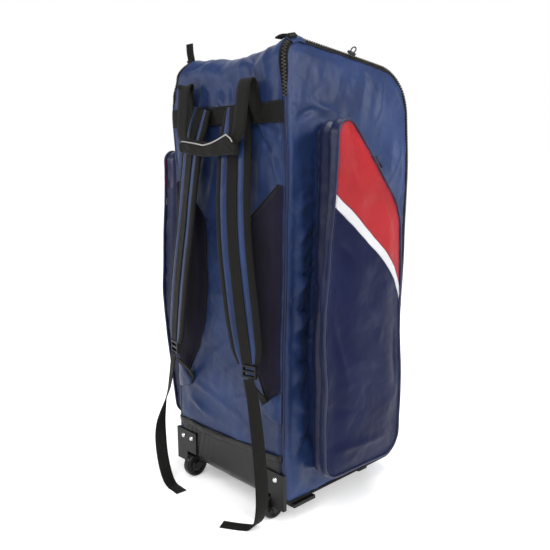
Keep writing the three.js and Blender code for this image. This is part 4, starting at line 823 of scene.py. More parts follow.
def join_blocks(name, parts, material):
    """One piece from several sets of blocks."""
    corners, faces = [], []
    for part, part_faces in parts:
        first = sum(len(done) for done in corners)
        faces += [tuple(i + first for i in face) for face in part_faces]
        corners.append(part)
    points = np.concatenate(corners)
    return mesh_object(name, points, faces, points[:, [0, 2]], material)


def stitches(name, paths, material="thread", pitch=4.4, length=3.2, width=0.8, height=0.45):
    """Lines of stitches. Each path is a pair: its points, and the outward direction at each."""
    parts = []
    for path, outs in paths:
        points, directions, places = walk_along(path, pitch, pitch / 2, pitch / 2)
        normal = read_along(outs, walked(path), places)
        parts.append(blocks(points, directions, normal, length, width, height))
    return join_blocks(name, parts, material)


def surface_line(surface, us, vs, lift):
    """A path on a surface with its outward directions."""
    u, v = np.broadcast_arrays(np.asarray(us, float), np.asarray(vs, float))
    lift = np.broadcast_to(np.asarray(lift, float), u.shape)
    points = surface(u, v, lift)
    return points, unit(surface(u, v, lift + 1.0) - points)


def catmull(points, steps):
    """A smooth curve through points, with an even number of steps between each pair."""
    p = np.vstack([2 * points[0] - points[1], points, 2 * points[-1] - points[-2]])
    out, where = [], []
    for k in range(len(points) - 1):
        t = np.linspace(0, 1, steps, endpoint=False)[:, None]
        a, b, c, d = p[k], p[k + 1], p[k + 2], p[k + 3]
        square, cube = 2 * a - 5 * b + 4 * c - d, 3 * b - a - 3 * c + d
        out.append(0.5 * (2 * b + (c - a) * t + square * t**2 + cube * t**3))
        where.append(k + t[:, 0])
    return np.vstack([*out, points[-1:]]), np.concatenate([*where, [len(points) - 1]])


class Route:
    """A webbing's middle line with its directions across and out."""

    def __init__(self, points, turns, widths, steps=10, roll=0):
        self.path, where = catmull(np.asarray(points, float), steps)
        rows = np.arange(len(points))
        turn = np.radians(np.interp(where, rows, turns))
        self.width = np.interp(where, rows, widths)
        flat = np.zeros_like(turn)
        if roll:
            wanted = np.stack([np.cos(turn), flat, np.sin(turn) * roll], -1)
        else:
            wanted = np.stack([np.cos(turn), np.sin(turn), flat], -1)
        tangent = unit(np.gradient(self.path, axis=0))
        self.across = unit(wanted - tangent * np.sum(wanted * tangent, 1)[:, None])
        self.out = np.cross(tangent, self.across)
        self.gone = walked(self.path)

    def at(self, a, lift):
        """Points a share of the half width across, and a height out."""
        height = np.broadcast_to(lift, self.width.shape)[:, None]
        return self.path + self.across * (a * self.width / 2)[:, None] + self.out * height

    def line(self, a, lift):
        return self.at(a, lift), self.out


def strip(name, route, section, material, wave=None):
    """A closed strip along a route. section: (share across, height) pairs walked round."""
    section = np.asarray(section, float)
    lift = section[None, :, 1] + (wave(route) if wave else np.zeros((len(route.path), 1)))
    rings = (
        route.path[:, None]
        + route.across[:, None] * (section[None, :, 0] * route.width[:, None] / 2)[..., None]
        + route.out[:, None] * lift[..., None]
    )
    count = len(section)
    faces = grid_faces(len(rings), count, False, True) + end_faces(len(rings), count)
    middle = len(rings) // 2
    inside = rings[middle].mean(0)
    edge = rings[middle, 0]
    normal = np.cross(rings[middle + 1, 0] - edge, rings[middle, 1] - edge)
    if normal @ (edge - inside) < 0:
        faces = [face[::-1] for face in faces]
    around = walked(section * (route.width.mean() / 2, 1))
    uvs = uv_pairs(around[None], route.gone[:, None])
    return mesh_object(name, rings.reshape(-1, 3), faces, uvs, material)


def flat_section(wall, base=0.0, edge=0.96):
    """Round-edged webbing from a height, as a section."""
    across = (-edge, -0.5, 0, 0.5, edge)
    below = [(a, base) for a in across]
    above = [(a, base + wall) for a in across[::-1]]
    return [*below, (1, base + wall / 2), *above, (-1, base + wall / 2)]


def declare(piece, *names):
    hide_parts(*names)
    return piece


# Folds of the body's cloth, in millimetres
LID_CREASES = table(CREASE_COLUMNS, [
    (-20, 868, 10, 800, 9, 2.2), (20, 880, 34, 806, 8, -2.4), (52, 890, 60, 812, 10, 2.4),
    (-70, 880, -60, 815, 10, 2.0), (84, 905, 98, 850, 8, -2.2), (-115, 880, -120, 815, 12, 2.2),
    (120, 905, 128, 835, 10, 2.0), (-140, 905, -60, 925, 9, -3.0), (30, 925, 95, 902, 7, -2.6),
    (60, 940, 120, 915, 8, 2.4),
])
BACK_CREASES = table(CREASE_COLUMNS, [
    (158, 690, 96, 768, 6, -2.6), (160, 725, 112, 766, 5, 2.4), (150, 672, 128, 745, 8, 2.6),
    (162, 745, 132, 768, 4, -2.2), (96, 640, 118, 760, 12, 2.4), (-150, 700, -110, 765, 9, 2.4),
    (-30, 430, 30, 455, 12, 3.0), (30, 455, 52, 400, 10, 3.0), (-45, 330, -10, 420, 12, 2.6),
    (-20, 270, 60, 330, 10, -2.6), (60, 330, 85, 260, 10, 2.6), (-60, 300, 0, 350, 9, -2.2),
    (0, 210, 110, 260, 10, 2.4), (-100, 230, 40, 190, 10, 2.4), (40, 520, 10, 640, 14, 2.4),
    (-30, 560, -12, 700, 12, -2.0), (120, 215, 60, 165, 8, 2.2), (-120, 190, -40, 160, 8, 2.0),
])
SIDE_CREASES = table(CREASE_COLUMNS, [
    (-150, 780, -110, 800, 8, -3.0), (-120, 805, -60, 790, 9, 3.0), (-150, 640, -118, 660, 8, 2.6),
    (-152, 560, -112, 590, 9, 2.8), (-150, 500, -112, 488, 7, -3.2), (-148, 470, -110, 500, 7, 3.0),
    (-150, 430, -112, 420, 7, -3.0), (-150, 392, -112, 410, 8, 2.6), (-148, 330, -112, 318, 7, -2.6),
    (-150, 300, -116, 312, 9, 2.6), (-150, 240, -116, 220, 8, 2.4), (-150, 180, -114, 190, 8, 2.4),
    (-146, 690, -136, 120, 16, 2.6), (-108, 720, -104, 140, 9, -3.4), (-30, 880, -70, 800, 14, 2.0),
    (40, 870, 10, 780, 14, -1.8), (90, 860, 60, 770, 12, 2.0), (20, 900, 60, 840, 9, 2.4),
    (150, 720, 90, 640, 16, 2.2), (160, 600, 110, 500, 14, 2.4), (170, 480, 120, 420, 12, -2.0),
    (160, 300, 120, 200, 14, 2.2),
])


def seam_pucker(along, away, seed, size=1.1, reach=16.0):
    """The little gathers that run off a sewn edge."""
    return size * noise(along, away * 0.4, 13.0, seed) * np.exp(-np.abs(away) / reach)


def round_relief(seed, rows, crumple_size):
    def relief(s, reach):
        _, z = PROFILE.at(s)
        away = PANEL_REACH - np.abs(reach)
        soft = ease(away / 20)
        folds = creases(rows, reach, z) if rows else 0.0
        broad = crumple_size * crumple(reach, s, 92.0, seed, 0.5, 1.5)
        fine = 0.55 * crumple_size * crumple(reach, s, 31.0, seed + 7, 1.1, 1.6)
        return soft * (folds + broad + fine) + seam_pucker(s, away, seed + 3)
    return relief


def round_panel(name, start, end, relief, wall, material):
    us = spread(start, end, PANEL_STEP)
    vs = np.concatenate([
        np.linspace(-PANEL_REACH, -FLAT_REACH, 5)[:-1], spread(-FLAT_REACH, FLAT_REACH, PANEL_STEP),
        np.linspace(FLAT_REACH, PANEL_REACH, 5)[1:],
    ])
    return declare(cloth_sheet(name, us, vs, cloth_point, relief, wall, material), name)


back_relief = round_relief(11, BACK_CREASES, 2.8)
lid_relief = round_relief(12, LID_CREASES, 3.0)
base_relief = round_relief(13, None, 1.2)
band_middle = BAND_LOW + BAND_WIDTH / 2
front_zip_low = FRONT_ZIP_HEIGHT - ZIP_WIDTH / 2
front_zip_high = FRONT_ZIP_HEIGHT + ZIP_WIDTH / 2


def vinyl_relief(s, reach):
    """Smooth coated cloth, with gathers that fan out below the left end of its hem."""
    _, z = PROFILE.at(s)
    below = np.clip(VINYL_TOP - z, 0, 120)
    on_back = (np.mod(s, PROFILE.length) < back_at(VINYL_TOP) + 1) & (z > BASE_HEIGHT + 4)
    fan = reach / (1 + below / 200)
    pleats = np.sin(fan * 0.42 + 1.5 * noise(fan, below, 40.0, 31)) * bell(reach + 112, 40)
    fade = ease(below / 10) * np.exp(-below / 50)
    broad = 1.8 * crumple(reach, s, 90.0, 33, 1.3, 1.4)
    away = PANEL_REACH - np.abs(reach)
    return ease(away / 16) * (on_back * 2.4 * pleats * fade + broad)


# The hem of the coated cloth over the back panel. reach: from the middle. up: height of its top edge.
HEM = table("reach up", [
    (-165, 136), (-119, 137), (-68, 133), (-26, 132), (25, 137), (73, 140), (125, 141), (165, 144),
])
HEM_WIDTH = 13.0
HEM_LIFT = 1.8
HEM_RISE = 1.6
HEM_STITCH_INSET = 2.6


def arch(t):
    """1 in the middle, falling steeply to 0 at -1 and at 1."""
    return np.sqrt(np.clip(1 - t ** 4, 0, 1))


def build_hem():
    reach = spread(-PANEL_REACH + 1, PANEL_REACH - 1, 4)
    wave = eased(HEM, "reach", "up", reach) + 0.8 * noise(reach, reach, 15.0, 35)
    across, share = mesh_grid(reach, np.linspace(0, 1, 9))
    z = wave[:, None] - share * HEM_WIDTH
    lift = HEM_LIFT + HEM_RISE * arch(2 * share - 1) + 0.7 * noise(across, z, 16.0, 37)
    points = cloth_point(back_at(z), across, lift)
    patch("vinyl_hem", points, across, z, "vinyl", THIN_WALL)
    downs = (HEM_STITCH_INSET, HEM_WIDTH - HEM_STITCH_INSET)
    rows = [surface_line(cloth_point, back_at(wave - down), reach, HEM_LIFT * 2) for down in downs]
    stitches("vinyl_hem_stitches", rows, "black_thread")


def build_round_panels():
    for name, start, end, relief in (
        ("back_panel", back_at(VINYL_TOP), back_at(band_middle), back_relief),
        ("lid_panel", back_at(band_middle), front_at(front_zip_high), lid_relief),
        ("base_panel", front_at(front_zip_low), under_at(VINYL_FRONT_EDGE), base_relief),
    ):
        round_panel(name, start, end, relief, CLOTH_WALL, "navy")


def build_vinyl():
    """The coated foot, opened round the wheel wells."""
    start, end = under_at(VINYL_FRONT_EDGE), PROFILE.length + back_at(VINYL_TOP)
    piece = round_panel("base_vinyl", start, end, vinyl_relief, VINYL_WALL, "vinyl")
    base_shift = LEAN["shift"][0] * BODY_WIDTH
    mesh = piece.data
    drop = []
    for polygon in mesh.polygons:
        centre = np.array(polygon.center) * 1000 - SHIFT
        out = abs(centre[0] - base_shift)
        beside = abs(out - WHEEL_OUT) < WHEEL_WIDTH / 2 + WELL_ROOM["beside"]
        behind = centre[1] < WHEEL_Y + WHEEL_RADIUS + WELL_ROOM["front"]
        if beside and behind and centre[2] < 2 * WHEEL_RADIUS + WELL_ROOM["above"]:
            drop.append(polygon.index)
    shape = bmesh.new()
    shape.from_mesh(mesh)
    shape.faces.ensure_lookup_table()
    bmesh.ops.delete(shape, geom=[shape.faces[i] for i in drop], context="FACES")
    shape.to_mesh(mesh)
    shape.free()


# Side panels: a field filled between its four border curves, and a rim that comes round from the edge
def coons(bottom, top, back, front, columns, rows):
    """Points (y, z) of a field between four curves, each given as a list of points."""
    u, v = np.linspace(0, 1, columns + 1)[None, :, None], np.linspace(0, 1, rows + 1)[:, None, None]
    low, high, rear, fore = (np.asarray(c, float) for c in (bottom, top, back, front))
    return (
        (1 - v) * low[None] + v * high[None] + (1 - u) * rear[:, None] + u * fore[:, None]
        - (1 - u) * (1 - v) * low[0] - u * (1 - v) * low[-1] - (1 - u) * v * high[0] - u * v * high[-1]
    )


def side_relief(sign, y, z, away):
    seed = 21 if sign > 0 else 41
    folds = creases(SIDE_CREASES, y, z)
    strip_zone = bell(y + 140, 34) * ease((700 - z) / 80)
    broad = 4.2 * crumple(y, z, 95.0, seed, 0.4, 1.5)
    near = 5.4 * strip_zone * crumple(y, z, 42.0, seed + 5, 0.25, 1.3)
    fine = 1.5 * crumple(y, z, 30.0, seed + 7, 1.2, 1.5)
    under_pocket = ease((y + 92) / 16) * ease((640 - z - (y + 97) * 0.6) / 60) * ease((104 - y) / 16)
    free = 1 - 0.75 * under_pocket
    gather = 1 - 2 * np.abs(noise(z + 0.5 * y, y * 0.2, 19.0, seed + 9))
    gathers = 3.4 * gather * bell(y + 106, 17) * ease((740 - z) / 60)
    return ease(away / 18) * free * (folds + broad + near + fine) + ease(away / 18) * gathers


def build_side_panel(side, sign):
    columns, rows, rings = 76, 190, 7
    middles = PROFILE.middles

    def border(a, b, count):
        y, z = PROFILE.at(np.linspace(a, b, count + 1), -SEAM_RADIUS)
        return np.stack([y, z], -1)

    back = border(middles[0], middles[1], rows)
    top = border(middles[1], middles[2], columns)
    front = border(middles[3], middles[2], rows)
    bottom = border(middles[4], middles[3], columns)
    field = coons(bottom, top, back, front, columns, rows)
    y, z = field[..., 0], field[..., 1]
    edges = zip(middles, middles[1:], (rows, columns, rows, columns))
    loop_s = np.concatenate([np.linspace(a, b, count + 1)[:-1] for a, b, count in edges])
    border_y, border_z = PROFILE.at(loop_s[::3], -SEAM_RADIUS)
    away = np.full(y.shape, 1e9)
    for by, bz in zip(border_y, border_z):
        away = np.minimum(away, np.hypot(y - by, z - bz))
    lift = side_relief(sign, y, z, away) + seam_pucker(y + z, away + 10, 23)
    points = slouch(np.stack([sign * (HALF_WIDTH + lift), y, z], -1)).reshape(-1, 3)
    uvs = field.reshape(-1, 2)
    wide = columns + 1
    loop = (
        [j * wide for j in range(rows)] + [rows * wide + i for i in range(columns)]
        + [(rows - j) * wide + columns for j in range(rows)] + [columns - i for i in range(columns)]
    )
    faces = grid_faces(rows + 1, wide)
    count = len(loop)
    total, previous = len(points), loop
    new_points, new_uvs = [], []
    for angle in np.linspace(math.pi / 2, PANEL_ANGLE + 0.02, rings)[1:]:
        arc = (math.pi / 2 - angle) * SEAM_RADIUS
        ring = edge_point(sign, loop_s, angle, seam_pucker(loop_s, np.full(count, 12.0 - arc), 23))
        new_points.append(ring)
        ry, rz = PROFILE.at(loop_s, -SEAM_RADIUS + arc)
        new_uvs.append(np.stack([ry, rz], -1))
        current = list(range(total, total + count))
        total += count
        for k in range(count):
            n = (k + 1) % count
            faces.append((previous[k], current[k], current[n], previous[n]))
        previous = current
    if sign > 0:
        faces = [face[::-1] for face in faces]
    points = np.vstack([points, *new_points])
    uvs = np.vstack([uvs, *new_uvs])
    name = f"side_panel_{side}"
    declare(solidify(mesh_object(name, points, faces, uvs, "navy"), CLOTH_WALL), name)


# Edge trim: piping and zips
def flared(share):
    """Share of a zip's full width, which it reaches some way from where it starts."""
    return 0.45 + 0.55 * ease(share)


def build_edge_trim(side, sign):
    middle = math.radians(45)
    opened, closed = back_at(ZIP_START), front_at(front_zip_high)
    s = spread(closed, PROFILE.length + opened, 5)
    lift = 0.9 + 0.5 * noise(s, np.zeros_like(s), 40.0, 51)
    piping = tube(f"seam_piping_{side}", edge_point(sign, s, middle, lift), PIPING_RADIUS, "dark_navy")
    declare(piping, f"seam_piping_{side}")

    under = spread(PROFILE.middles[3], PROFILE.length, 5)
    tube(f"base_binding_{side}", edge_point(sign, under, middle, 0.9), BINDING_RADIUS, "binding")
    # Pale stitches along the seam: real stitching, whose paler thread also stands for a painted highlight
    # on the piping edge
    rows = [surface_line(cloth_point, s, sign * (PANEL_REACH - inward), 1.6) for inward in SEAM_HIGHLIGHT_STITCHES]
    stitches(f"seam_stitches_{side}", rows, "thread", width=0.7)

    s = spread(opened, closed, 4)
    half = ZIP_WIDTH / 2 / SEAM_RADIUS
    u, v = mesh_grid(s, np.linspace(-1, 1, 9))
    wide = half * flared((s - opened) / 60)[:, None]
    rise = 0.9 + 0.9 * bell(v, 0.30) + 0.35 * noise(u, v * 10, 25.0, 53)
    points = edge_point(sign, u, middle + v * wide, rise)
    tape = patch(f"main_zip_tape_{side}", points, v * ZIP_WIDTH / 2, u, "tape", TAPE_WALL, sign > 0)
    declare(tape, f"main_zip_{side}")

    def coil_line(a, _, lift):
        return edge_point(sign, a, middle, lift)

    line, outs = surface_line(coil_line, s, s, 1.9)
    build_teeth(f"main_zip_teeth_{side}", line, outs, *MAIN_TEETH)
    if sign > 0:
        build_garage(sign, middle, half)


def build_garage(sign, middle, half):
    """The scrap of cloth over the zip where it turns the top back corner."""
    start = PROFILE.middles[1] + GARAGE_START
    s, v = mesh_grid(spread(start, start + GARAGE_LENGTH, 2), np.linspace(-1, 1, 13))
    near_end = np.minimum(s - s[0, 0], s[-1, 0] - s) / 6
    ripple = 0.5 * noise(s, v * 9, 12.0, 55)
    rise = GARAGE_LIFT + GARAGE_RISE * arch(v) * (0.6 + 0.4 * ease(near_end)) + ripple
    points = edge_point(sign, s, middle + v * half * 1.15, rise)
    patch("zip_garage", points, v * ZIP_WIDTH / 2, s, "navy", THIN_WALL, True)


def build_teeth(name, path, outs, width, height):
    """Two interlocked rows of slanted teeth."""
    parts = []
    for start, toward, skew in ((0.0, 0.25, TOOTH_SKEW), (TOOTH_PITCH / 2, -0.25, -TOOTH_SKEW)):
        points, directions, places = walk_along(path, TOOTH_PITCH, start)
        normal = read_along(outs, walked(path), places)
        across = unit(np.cross(normal, directions))
        middles, slanted = points + across * width * toward, across + directions * skew
        parts.append(blocks(middles, slanted, normal, width * TOOTH_REACH, TOOTH_BREADTH, height))
    return join_blocks(name, parts, "coil_with_glints")


def build_front_zip():
    start, end = front_at(front_zip_high), front_at(front_zip_low)
    middle = (start + end) / 2

    def relief(s, _):
        return 0.9 * bell(s - middle, 4.0) - 0.4

    places, reach = np.linspace(start, end, 9), spread(-FLAT_REACH, FLAT_REACH, 6)
    tape = cloth_sheet("main_zip_tape_front", places, reach, cloth_point, relief, TAPE_WALL, "tape")
    declare(tape, "main_zip_front")
    line, outs = surface_line(cloth_point, middle, reach, 0.6)
    build_teeth("main_zip_teeth_front", line, outs, *MAIN_TEETH)


def build_band():
    rows = np.linspace(back_at(BAND_LOW), back_at(BAND_LOW + BAND_WIDTH), 9)
    columns = spread(-PANEL_REACH + 1, PANEL_REACH - 1, 5)

    def relief(s, reach):
        below = np.maximum(np.maximum(back_relief(s, reach), lid_relief(s, reach)), 0)
        edge = 0.9 * noise(reach, s, 24.0, 62) * bell(s - rows[-1], 8)
        return below + 0.5 * crumple(reach, s, 60.0, 61) + edge

    band = cloth_sheet("webbing_band", rows, columns, cloth_point, relief, BAND_WALL, "webbing", BAND_LIFT)
    declare(band, "webbing_band")
    lines = []
    for s in (rows[0] + 3, rows[-1] - 3):
        place = np.full(columns.shape, s)
        lines.append(surface_line(cloth_point, place, columns, BAND_LIFT + 0.5 + relief(place, columns)))
    stitches("webbing_band_stitches", lines, "black_thread")


# Back pads
def build_back_pad(side, sign):
    ups = np.linspace(PAD_EDGE["up"][0], PAD_EDGE["up"][-1], 96)
    inner = linear(PAD_EDGE, "up", "inner", ups)
    for _ in range(3):
        inner[1:-1] = (inner[:-2] + 2 * inner[1:-1] + inner[2:]) / 4
    inner = inner * HALF_WIDTH
    s = back_at(BASE_HEIGHT + ups * BODY_HEIGHT)
    outer = linear(PAD_EDGE, "up", "outer", ups)[:, None] * HALF_WIDTH
    shares = (1 - np.cos(np.linspace(0, math.pi, 30))) / 2
    reach = inner[:, None] + (outer - inner[:, None]) * shares[None]
    place = np.broadcast_to(s[:, None], reach.shape)
    from_edge = np.minimum(reach - inner[:, None], (outer - reach) * 1.6)
    from_end = np.minimum(s - s[0], s[-1] - s)[:, None]
    full = np.sqrt(np.clip(np.minimum(from_edge, from_end * 0.9) / 16, 0, 1))
    lift = 0.8 + PAD_THICKNESS * full + 0.8 * crumple(reach, place, 70.0, 71 + sign) * full
    points = cloth_point(place, sign * reach, lift)
    pad = patch(f"back_pad_{side}", points, reach, place, "mesh", THIN_WALL, sign < 0)
    declare(pad, f"back_pad_{side}")
    line = cloth_point(s, sign * (inner - 2.6), np.full(s.shape, 2.4))
    declare(tube(f"pad_piping_{side}", line, PAD_PIPING_RADIUS, "binding"), f"pad_piping_{side}")


# Side pockets
def pocket_outline(kind, sign):
    heights = BASE_HEIGHT + POCKET[f"{kind}_up"] * BODY_HEIGHT - POCKET["sink"] * POCKET_SINK[sign]
    forwards, radii = POCKET[f"{kind}_forward"] * HALF_DEPTH, POCKET[f"{kind}_radius"] * BODY_DEPTH
    return Outline(list(zip(forwards, heights, radii)))


ROOT = {sign: pocket_outline("root", sign) for _, sign in SIDES}
FACE = {sign: pocket_outline("face", sign) for _, sign in SIDES}


def on_outline(outline, walk, offset=0.0):
    """Points of a pocket's outline. walk: number of the edge and the share along it."""
    walk = np.asarray(walk, float)
    middles = np.array(outline.middles)
    edge = np.floor(walk).astype(int) % len(outline.bends)
    share = walk - np.floor(walk)
    return outline.at(middles[edge] + (middles[edge + 1] - middles[edge]) * share, offset)


def pocket_out(sign, z):
    up = (z - BASE_HEIGHT) / BODY_HEIGHT
    return HALF_WIDTH + POCKET_DEPTH * eased(POCKET_OUT, "up", "right" if sign > 0 else "left", up)


def gusset_point(sign, walk, out, lift):
    """Point of the pocket's wall: out 0 at the side panel, 1 at the face."""
    swell = eased(GUSSET, "out", "swell", out) * POCKET_DEPTH
    root_y, root_z = on_outline(ROOT[sign], walk, swell + lift)
    face_y, face_z = on_outline(FACE[sign], walk, swell + lift)
    start = slouch(np.stack([np.full(root_y.shape, sign * (HALF_WIDTH + 0.6)), root_y, root_z], -1))
    end = slouch(np.stack([sign * pocket_out(sign, face_z), face_y, face_z], -1))
    return start + (end - start) * np.asarray(out)[..., None]


def face_depth(sign, y, z):
    """How far inside the pocket face's outline a place lies."""
    away = np.full(np.shape(y), 1e9)
    samples = FACE[sign].at(np.linspace(0, FACE[sign].length, 420, endpoint=False))
    for sample_y, sample_z in zip(*samples):
        away = np.minimum(away, np.hypot(y - sample_y, z - sample_z))
    return away


FACE_CREASES = table(CREASE_COLUMNS, [
    (-130, 560, -60, 500, 14, 1.8), (-120, 470, -20, 400, 18, 1.6), (-110, 350, 30, 300, 20, 1.6),
    (-140, 250, -60, 230, 12, -1.6), (-120, 160, 20, 150, 10, 1.8), (-30, 640, 20, 560, 12, 1.5),
    (40, 380, 50, 260, 8, -1.4), (-100, 700, -80, 620, 14, 1.4), (-135, 420, -100, 300, 9, 1.6),
])


def face_point(sign, y, z, lift):
    away = face_depth(sign, y, z)
    full = POCKET_BULGE * ease(away / (POCKET_DEPTH * 0.7)) + 2.4 * (1 - np.exp(-away / 3.5)) - 1.2
    broad = 2.2 * crumple(y, z, 110.0, 81, 0.6, 1.6)
    folds = ease(away / 24) * (creases(FACE_CREASES, y, z) + broad + crumple(y, z, 34.0, 83, 0.2, 1.4))
    pucker = 0.8 * noise(y * 1.3 + z, z - y, 11.0, 85) * np.exp(-away / 9)
    x = pocket_out(sign, z) + full + folds + pucker + lift
    return slouch(np.stack([sign * x, y, z], -1))


def edge_walk(sign, edge, z):
    walks = edge + np.linspace(0, 1, 2000)
    heights = on_outline(FACE[sign], np.minimum(walks, edge + 0.9999))[1]
    return walks[np.argmax(heights >= z)] if edge == 1 else walks[np.argmax(heights <= z)]


def stripe_line(sign, rim, shares):
    """The stripe's lower (-1) or upper (1) edge over the pocket face."""
    middle = BASE_HEIGHT + BODY_HEIGHT * linear(STRIPE, "along", "up", shares)
    middle = middle - POCKET_SINK[sign] * STRIPE_SINK
    ideal = middle + rim * STRIPE_WIDTH / 2 * linear(STRIPE, "along", "width", shares)
    rear, front = edge_walk(sign, 1, ideal[0]), edge_walk(sign, 3, ideal[-1])
    (y0, z0), (y1, z1) = on_outline(FACE[sign], rear), on_outline(FACE[sign], front)
    z = z0 + (z1 - z0) * shares + ideal - (ideal[0] + (ideal[-1] - ideal[0]) * shares)
    return np.stack([y0 + (y1 - y0) * shares, z], -1), rear, front


def build_pocket_face(side, sign):
    columns = 56
    shares = np.linspace(0, 1, columns + 1)
    lower_line, low_rear, low_front = stripe_line(sign, -1, shares)
    upper_line, high_rear, high_front = stripe_line(sign, 1, shares)
    bend, middles = FACE[sign].bends[2], FACE[sign].middles
    half_arc = bend["r"] * bend["turn"] / 2
    apex_low = 2 - half_arc / (middles[2] - middles[1])
    apex_high = 2 + half_arc / (middles[3] - middles[2])

    def edge(a, b, count):
        walks = np.linspace(a, b, count + 1)
        return np.stack(on_outline(FACE[sign], walks), -1)

    parts = (
        # name, material, rows, lower edge, upper edge, walks of its rear and its front edge
        ("lower", "pocket_navy", 104, edge(5, 4, columns), lower_line, (0, low_rear), (4, low_front)),
        ("stripe", "white", 8, lower_line, upper_line, (low_rear, high_rear), (low_front, high_front)),
        ("upper", "red", 72, upper_line, edge(apex_low, apex_high, columns),
         (high_rear, apex_low), (high_front, apex_high)),
    )
    for part, material, rows, bottom, top, rear, front in parts:
        field = coons(bottom, top, edge(*rear, rows), edge(*front, rows), columns, rows)
        y, z = field[..., 0], field[..., 1]
        points = face_point(sign, y, z, 0.5 if part == "stripe" else 0.0)
        name = f"pocket_{part}_{side}"
        declare(patch(name, points, y, z, material, CLOTH_WALL, sign > 0), name)

    def face_line(y, z):
        path = face_point(sign, y, z, 0.3)
        return path, np.broadcast_to([sign, 0.0, 0.0], path.shape)

    nudges = ((lower_line, -2.5), (upper_line, 2.5))
    lines = [face_line(line[:, 0], line[:, 1] + nudge) for line, nudge in nudges]
    stitches(f"stripe_stitches_{side}", lines, width=0.6)
    walks = np.arange(FACE[sign].length // 4) * 4.0
    stitches(f"pocket_edge_stitches_{side}", [face_line(*FACE[sign].at(walks, -5.0))], width=0.6)


def build_pocket_gusset(side, sign):
    walks = np.concatenate([np.linspace(edge, edge + 1, 90, endpoint=False) for edge in range(5)])
    outs = np.linspace(0, 1, 25)
    walk, out = mesh_grid(walks, outs)
    _, z = on_outline(FACE[sign], walk)
    rear = bell(walk - 1.25, 0.75)
    middle = np.sin(math.pi * out)
    depth = out * POCKET_DEPTH
    fine = 2.4 * crumple(z, depth, 46.0, 91 + sign, 1.4, 1.2)
    drawn = 3.6 * crumple(z, depth, 60.0, 95 + sign, 0.15, 2.4)
    ridge = 3.0 * bell(out - 0.70 - 0.05 * noise(z, z, 120.0, 97), 0.10)
    valley = 3.6 * bell(out - 0.45 - 0.05 * noise(z, z, 90.0, 98), 0.09)
    seams = np.exp(-out * 7) + np.exp(-(1 - out) * 9)
    pucker = 2.4 * noise(z + 0.3 * depth, out * 12, 15.0, 99) * seams
    lift = middle * (fine + rear * drawn) + rear * (ridge - valley) + pucker
    points = gusset_point(sign, walk, out, lift)
    name = f"pocket_gusset_{side}"
    gusset = patch(name, points, depth, walk * EDGE_LENGTH, "dark_navy", CLOTH_WALL, sign > 0, True)
    declare(gusset, name)
    y, z = on_outline(FACE[sign], walks, 1.6)
    path = slouch(np.stack([sign * (pocket_out(sign, z) + 0.6 * noise(y, z, 30.0, 101)), y, z], -1))
    name = f"pocket_piping_{side}"
    declare(tube(name, path, PIPING_RADIUS, "dark_navy", closed=True), name)
    y, z = on_outline(ROOT[sign], walks, 1.0)
    path = slouch(np.stack([np.full(y.shape, sign * (HALF_WIDTH + 1.4)), y, z], -1))
    tube(f"pocket_root_piping_{side}", path, ROOT_PIPING_RADIUS, "dark_navy", closed=True)


def build_pocket_zip(side, sign):
    walks = np.linspace(POCKET_ZIP_START, POCKET_ZIP_END, 150)
    half = POCKET_ZIP_HALF / POCKET_DEPTH
    flare = flared((walks - POCKET_ZIP_START) / 0.5)
    u, v = mesh_grid(walks, np.linspace(-1, 1, 7))
    out = POCKET_ZIP_PLACE + v * half * flare[:, None]
    lift = 2.4 + 0.9 * bell(v, 0.35)
    points = gusset_point(sign, u, out, lift)
    name = f"pocket_zip_tape_{side}"
    tape = patch(name, points, v * POCKET_ZIP_HALF, u * EDGE_LENGTH, "tape", TAPE_WALL, sign > 0)
    declare(tape, f"pocket_zip_{side}")

    def surface(walk, _, lift):
        return gusset_point(sign, walk, np.full(walk.shape, POCKET_ZIP_PLACE), lift)

    line, outs = surface_line(surface, walks, walks, 3.2)
    build_teeth(f"pocket_zip_teeth_{side}", line, outs, *POCKET_TEETH)


# Shoulder straps and webbing
def strap_place(sign, rows):
    return np.stack([
        sign * rows["out"] * HALF_WIDTH, -HALF_DEPTH - rows["off"] * HALF_WIDTH,
        BASE_HEIGHT + rows["up"] * BODY_HEIGHT,
    ], -1)


def strap_section():
    """The padded strap: two soft lobes beside the webbing, pinched under the edge binding."""
    a = np.linspace(-1, 1, 33)
    lobe = 0.62 + 0.38 * bell(np.abs(a) - 0.58, 0.2)
    top = STRAP_THICKNESS / 2 * lobe * np.sqrt(np.clip(1 - np.abs(a) ** 9, 0, 1))
    return [*zip(a, top), *zip(a[::-1][1:-1], -0.8 * top[::-1][1:-1])]


def build_strap(side, sign):
    places, turns = strap_place(sign, STRAP), sign * STRAP["turn"]
    route = Route(places, turns, STRAP_WIDTH * STRAP["width"], STRAP_STEPS)
    centre = Route(places, turns, np.full(len(places), WEBBING_WIDTH), STRAP_STEPS)

    def ripple(r):
        return 0.5 * noise(r.gone, np.zeros_like(r.gone), 46.0, 111 + sign)[:, None]

    body = strip(f"shoulder_strap_{side}", route, strap_section(), "navy", wave=ripple)
    declare(body, f"shoulder_strap_{side}")
    for label, edge in (("outer", sign), ("inner", -sign)):
        angles = np.linspace(-BINDING_ANGLE, BINDING_ANGLE, 13)
        outer = [(edge * (0.72 + 0.33 * math.cos(t)), 4.6 * math.sin(t)) for t in angles]
        inner = [(edge * (0.71 + 0.30 * math.cos(t)), 3.7 * math.sin(t)) for t in angles[::-1]]
        strip(f"strap_binding_{label}_{side}", route, outer + inner, "binding", wave=ripple)
    raised = STRAP_THICKNESS / 2 * 0.66 + 0.4
    name = f"strap_webbing_{side}"
    declare(strip(name, centre, flat_section(WEBBING_WALL, raised), "webbing", wave=ripple), name)
    lines = [centre.line(share, raised + WEBBING_WALL) for share in (-0.86, 0.86)]
    stitches(f"strap_stitches_{side}", lines, "black_thread")


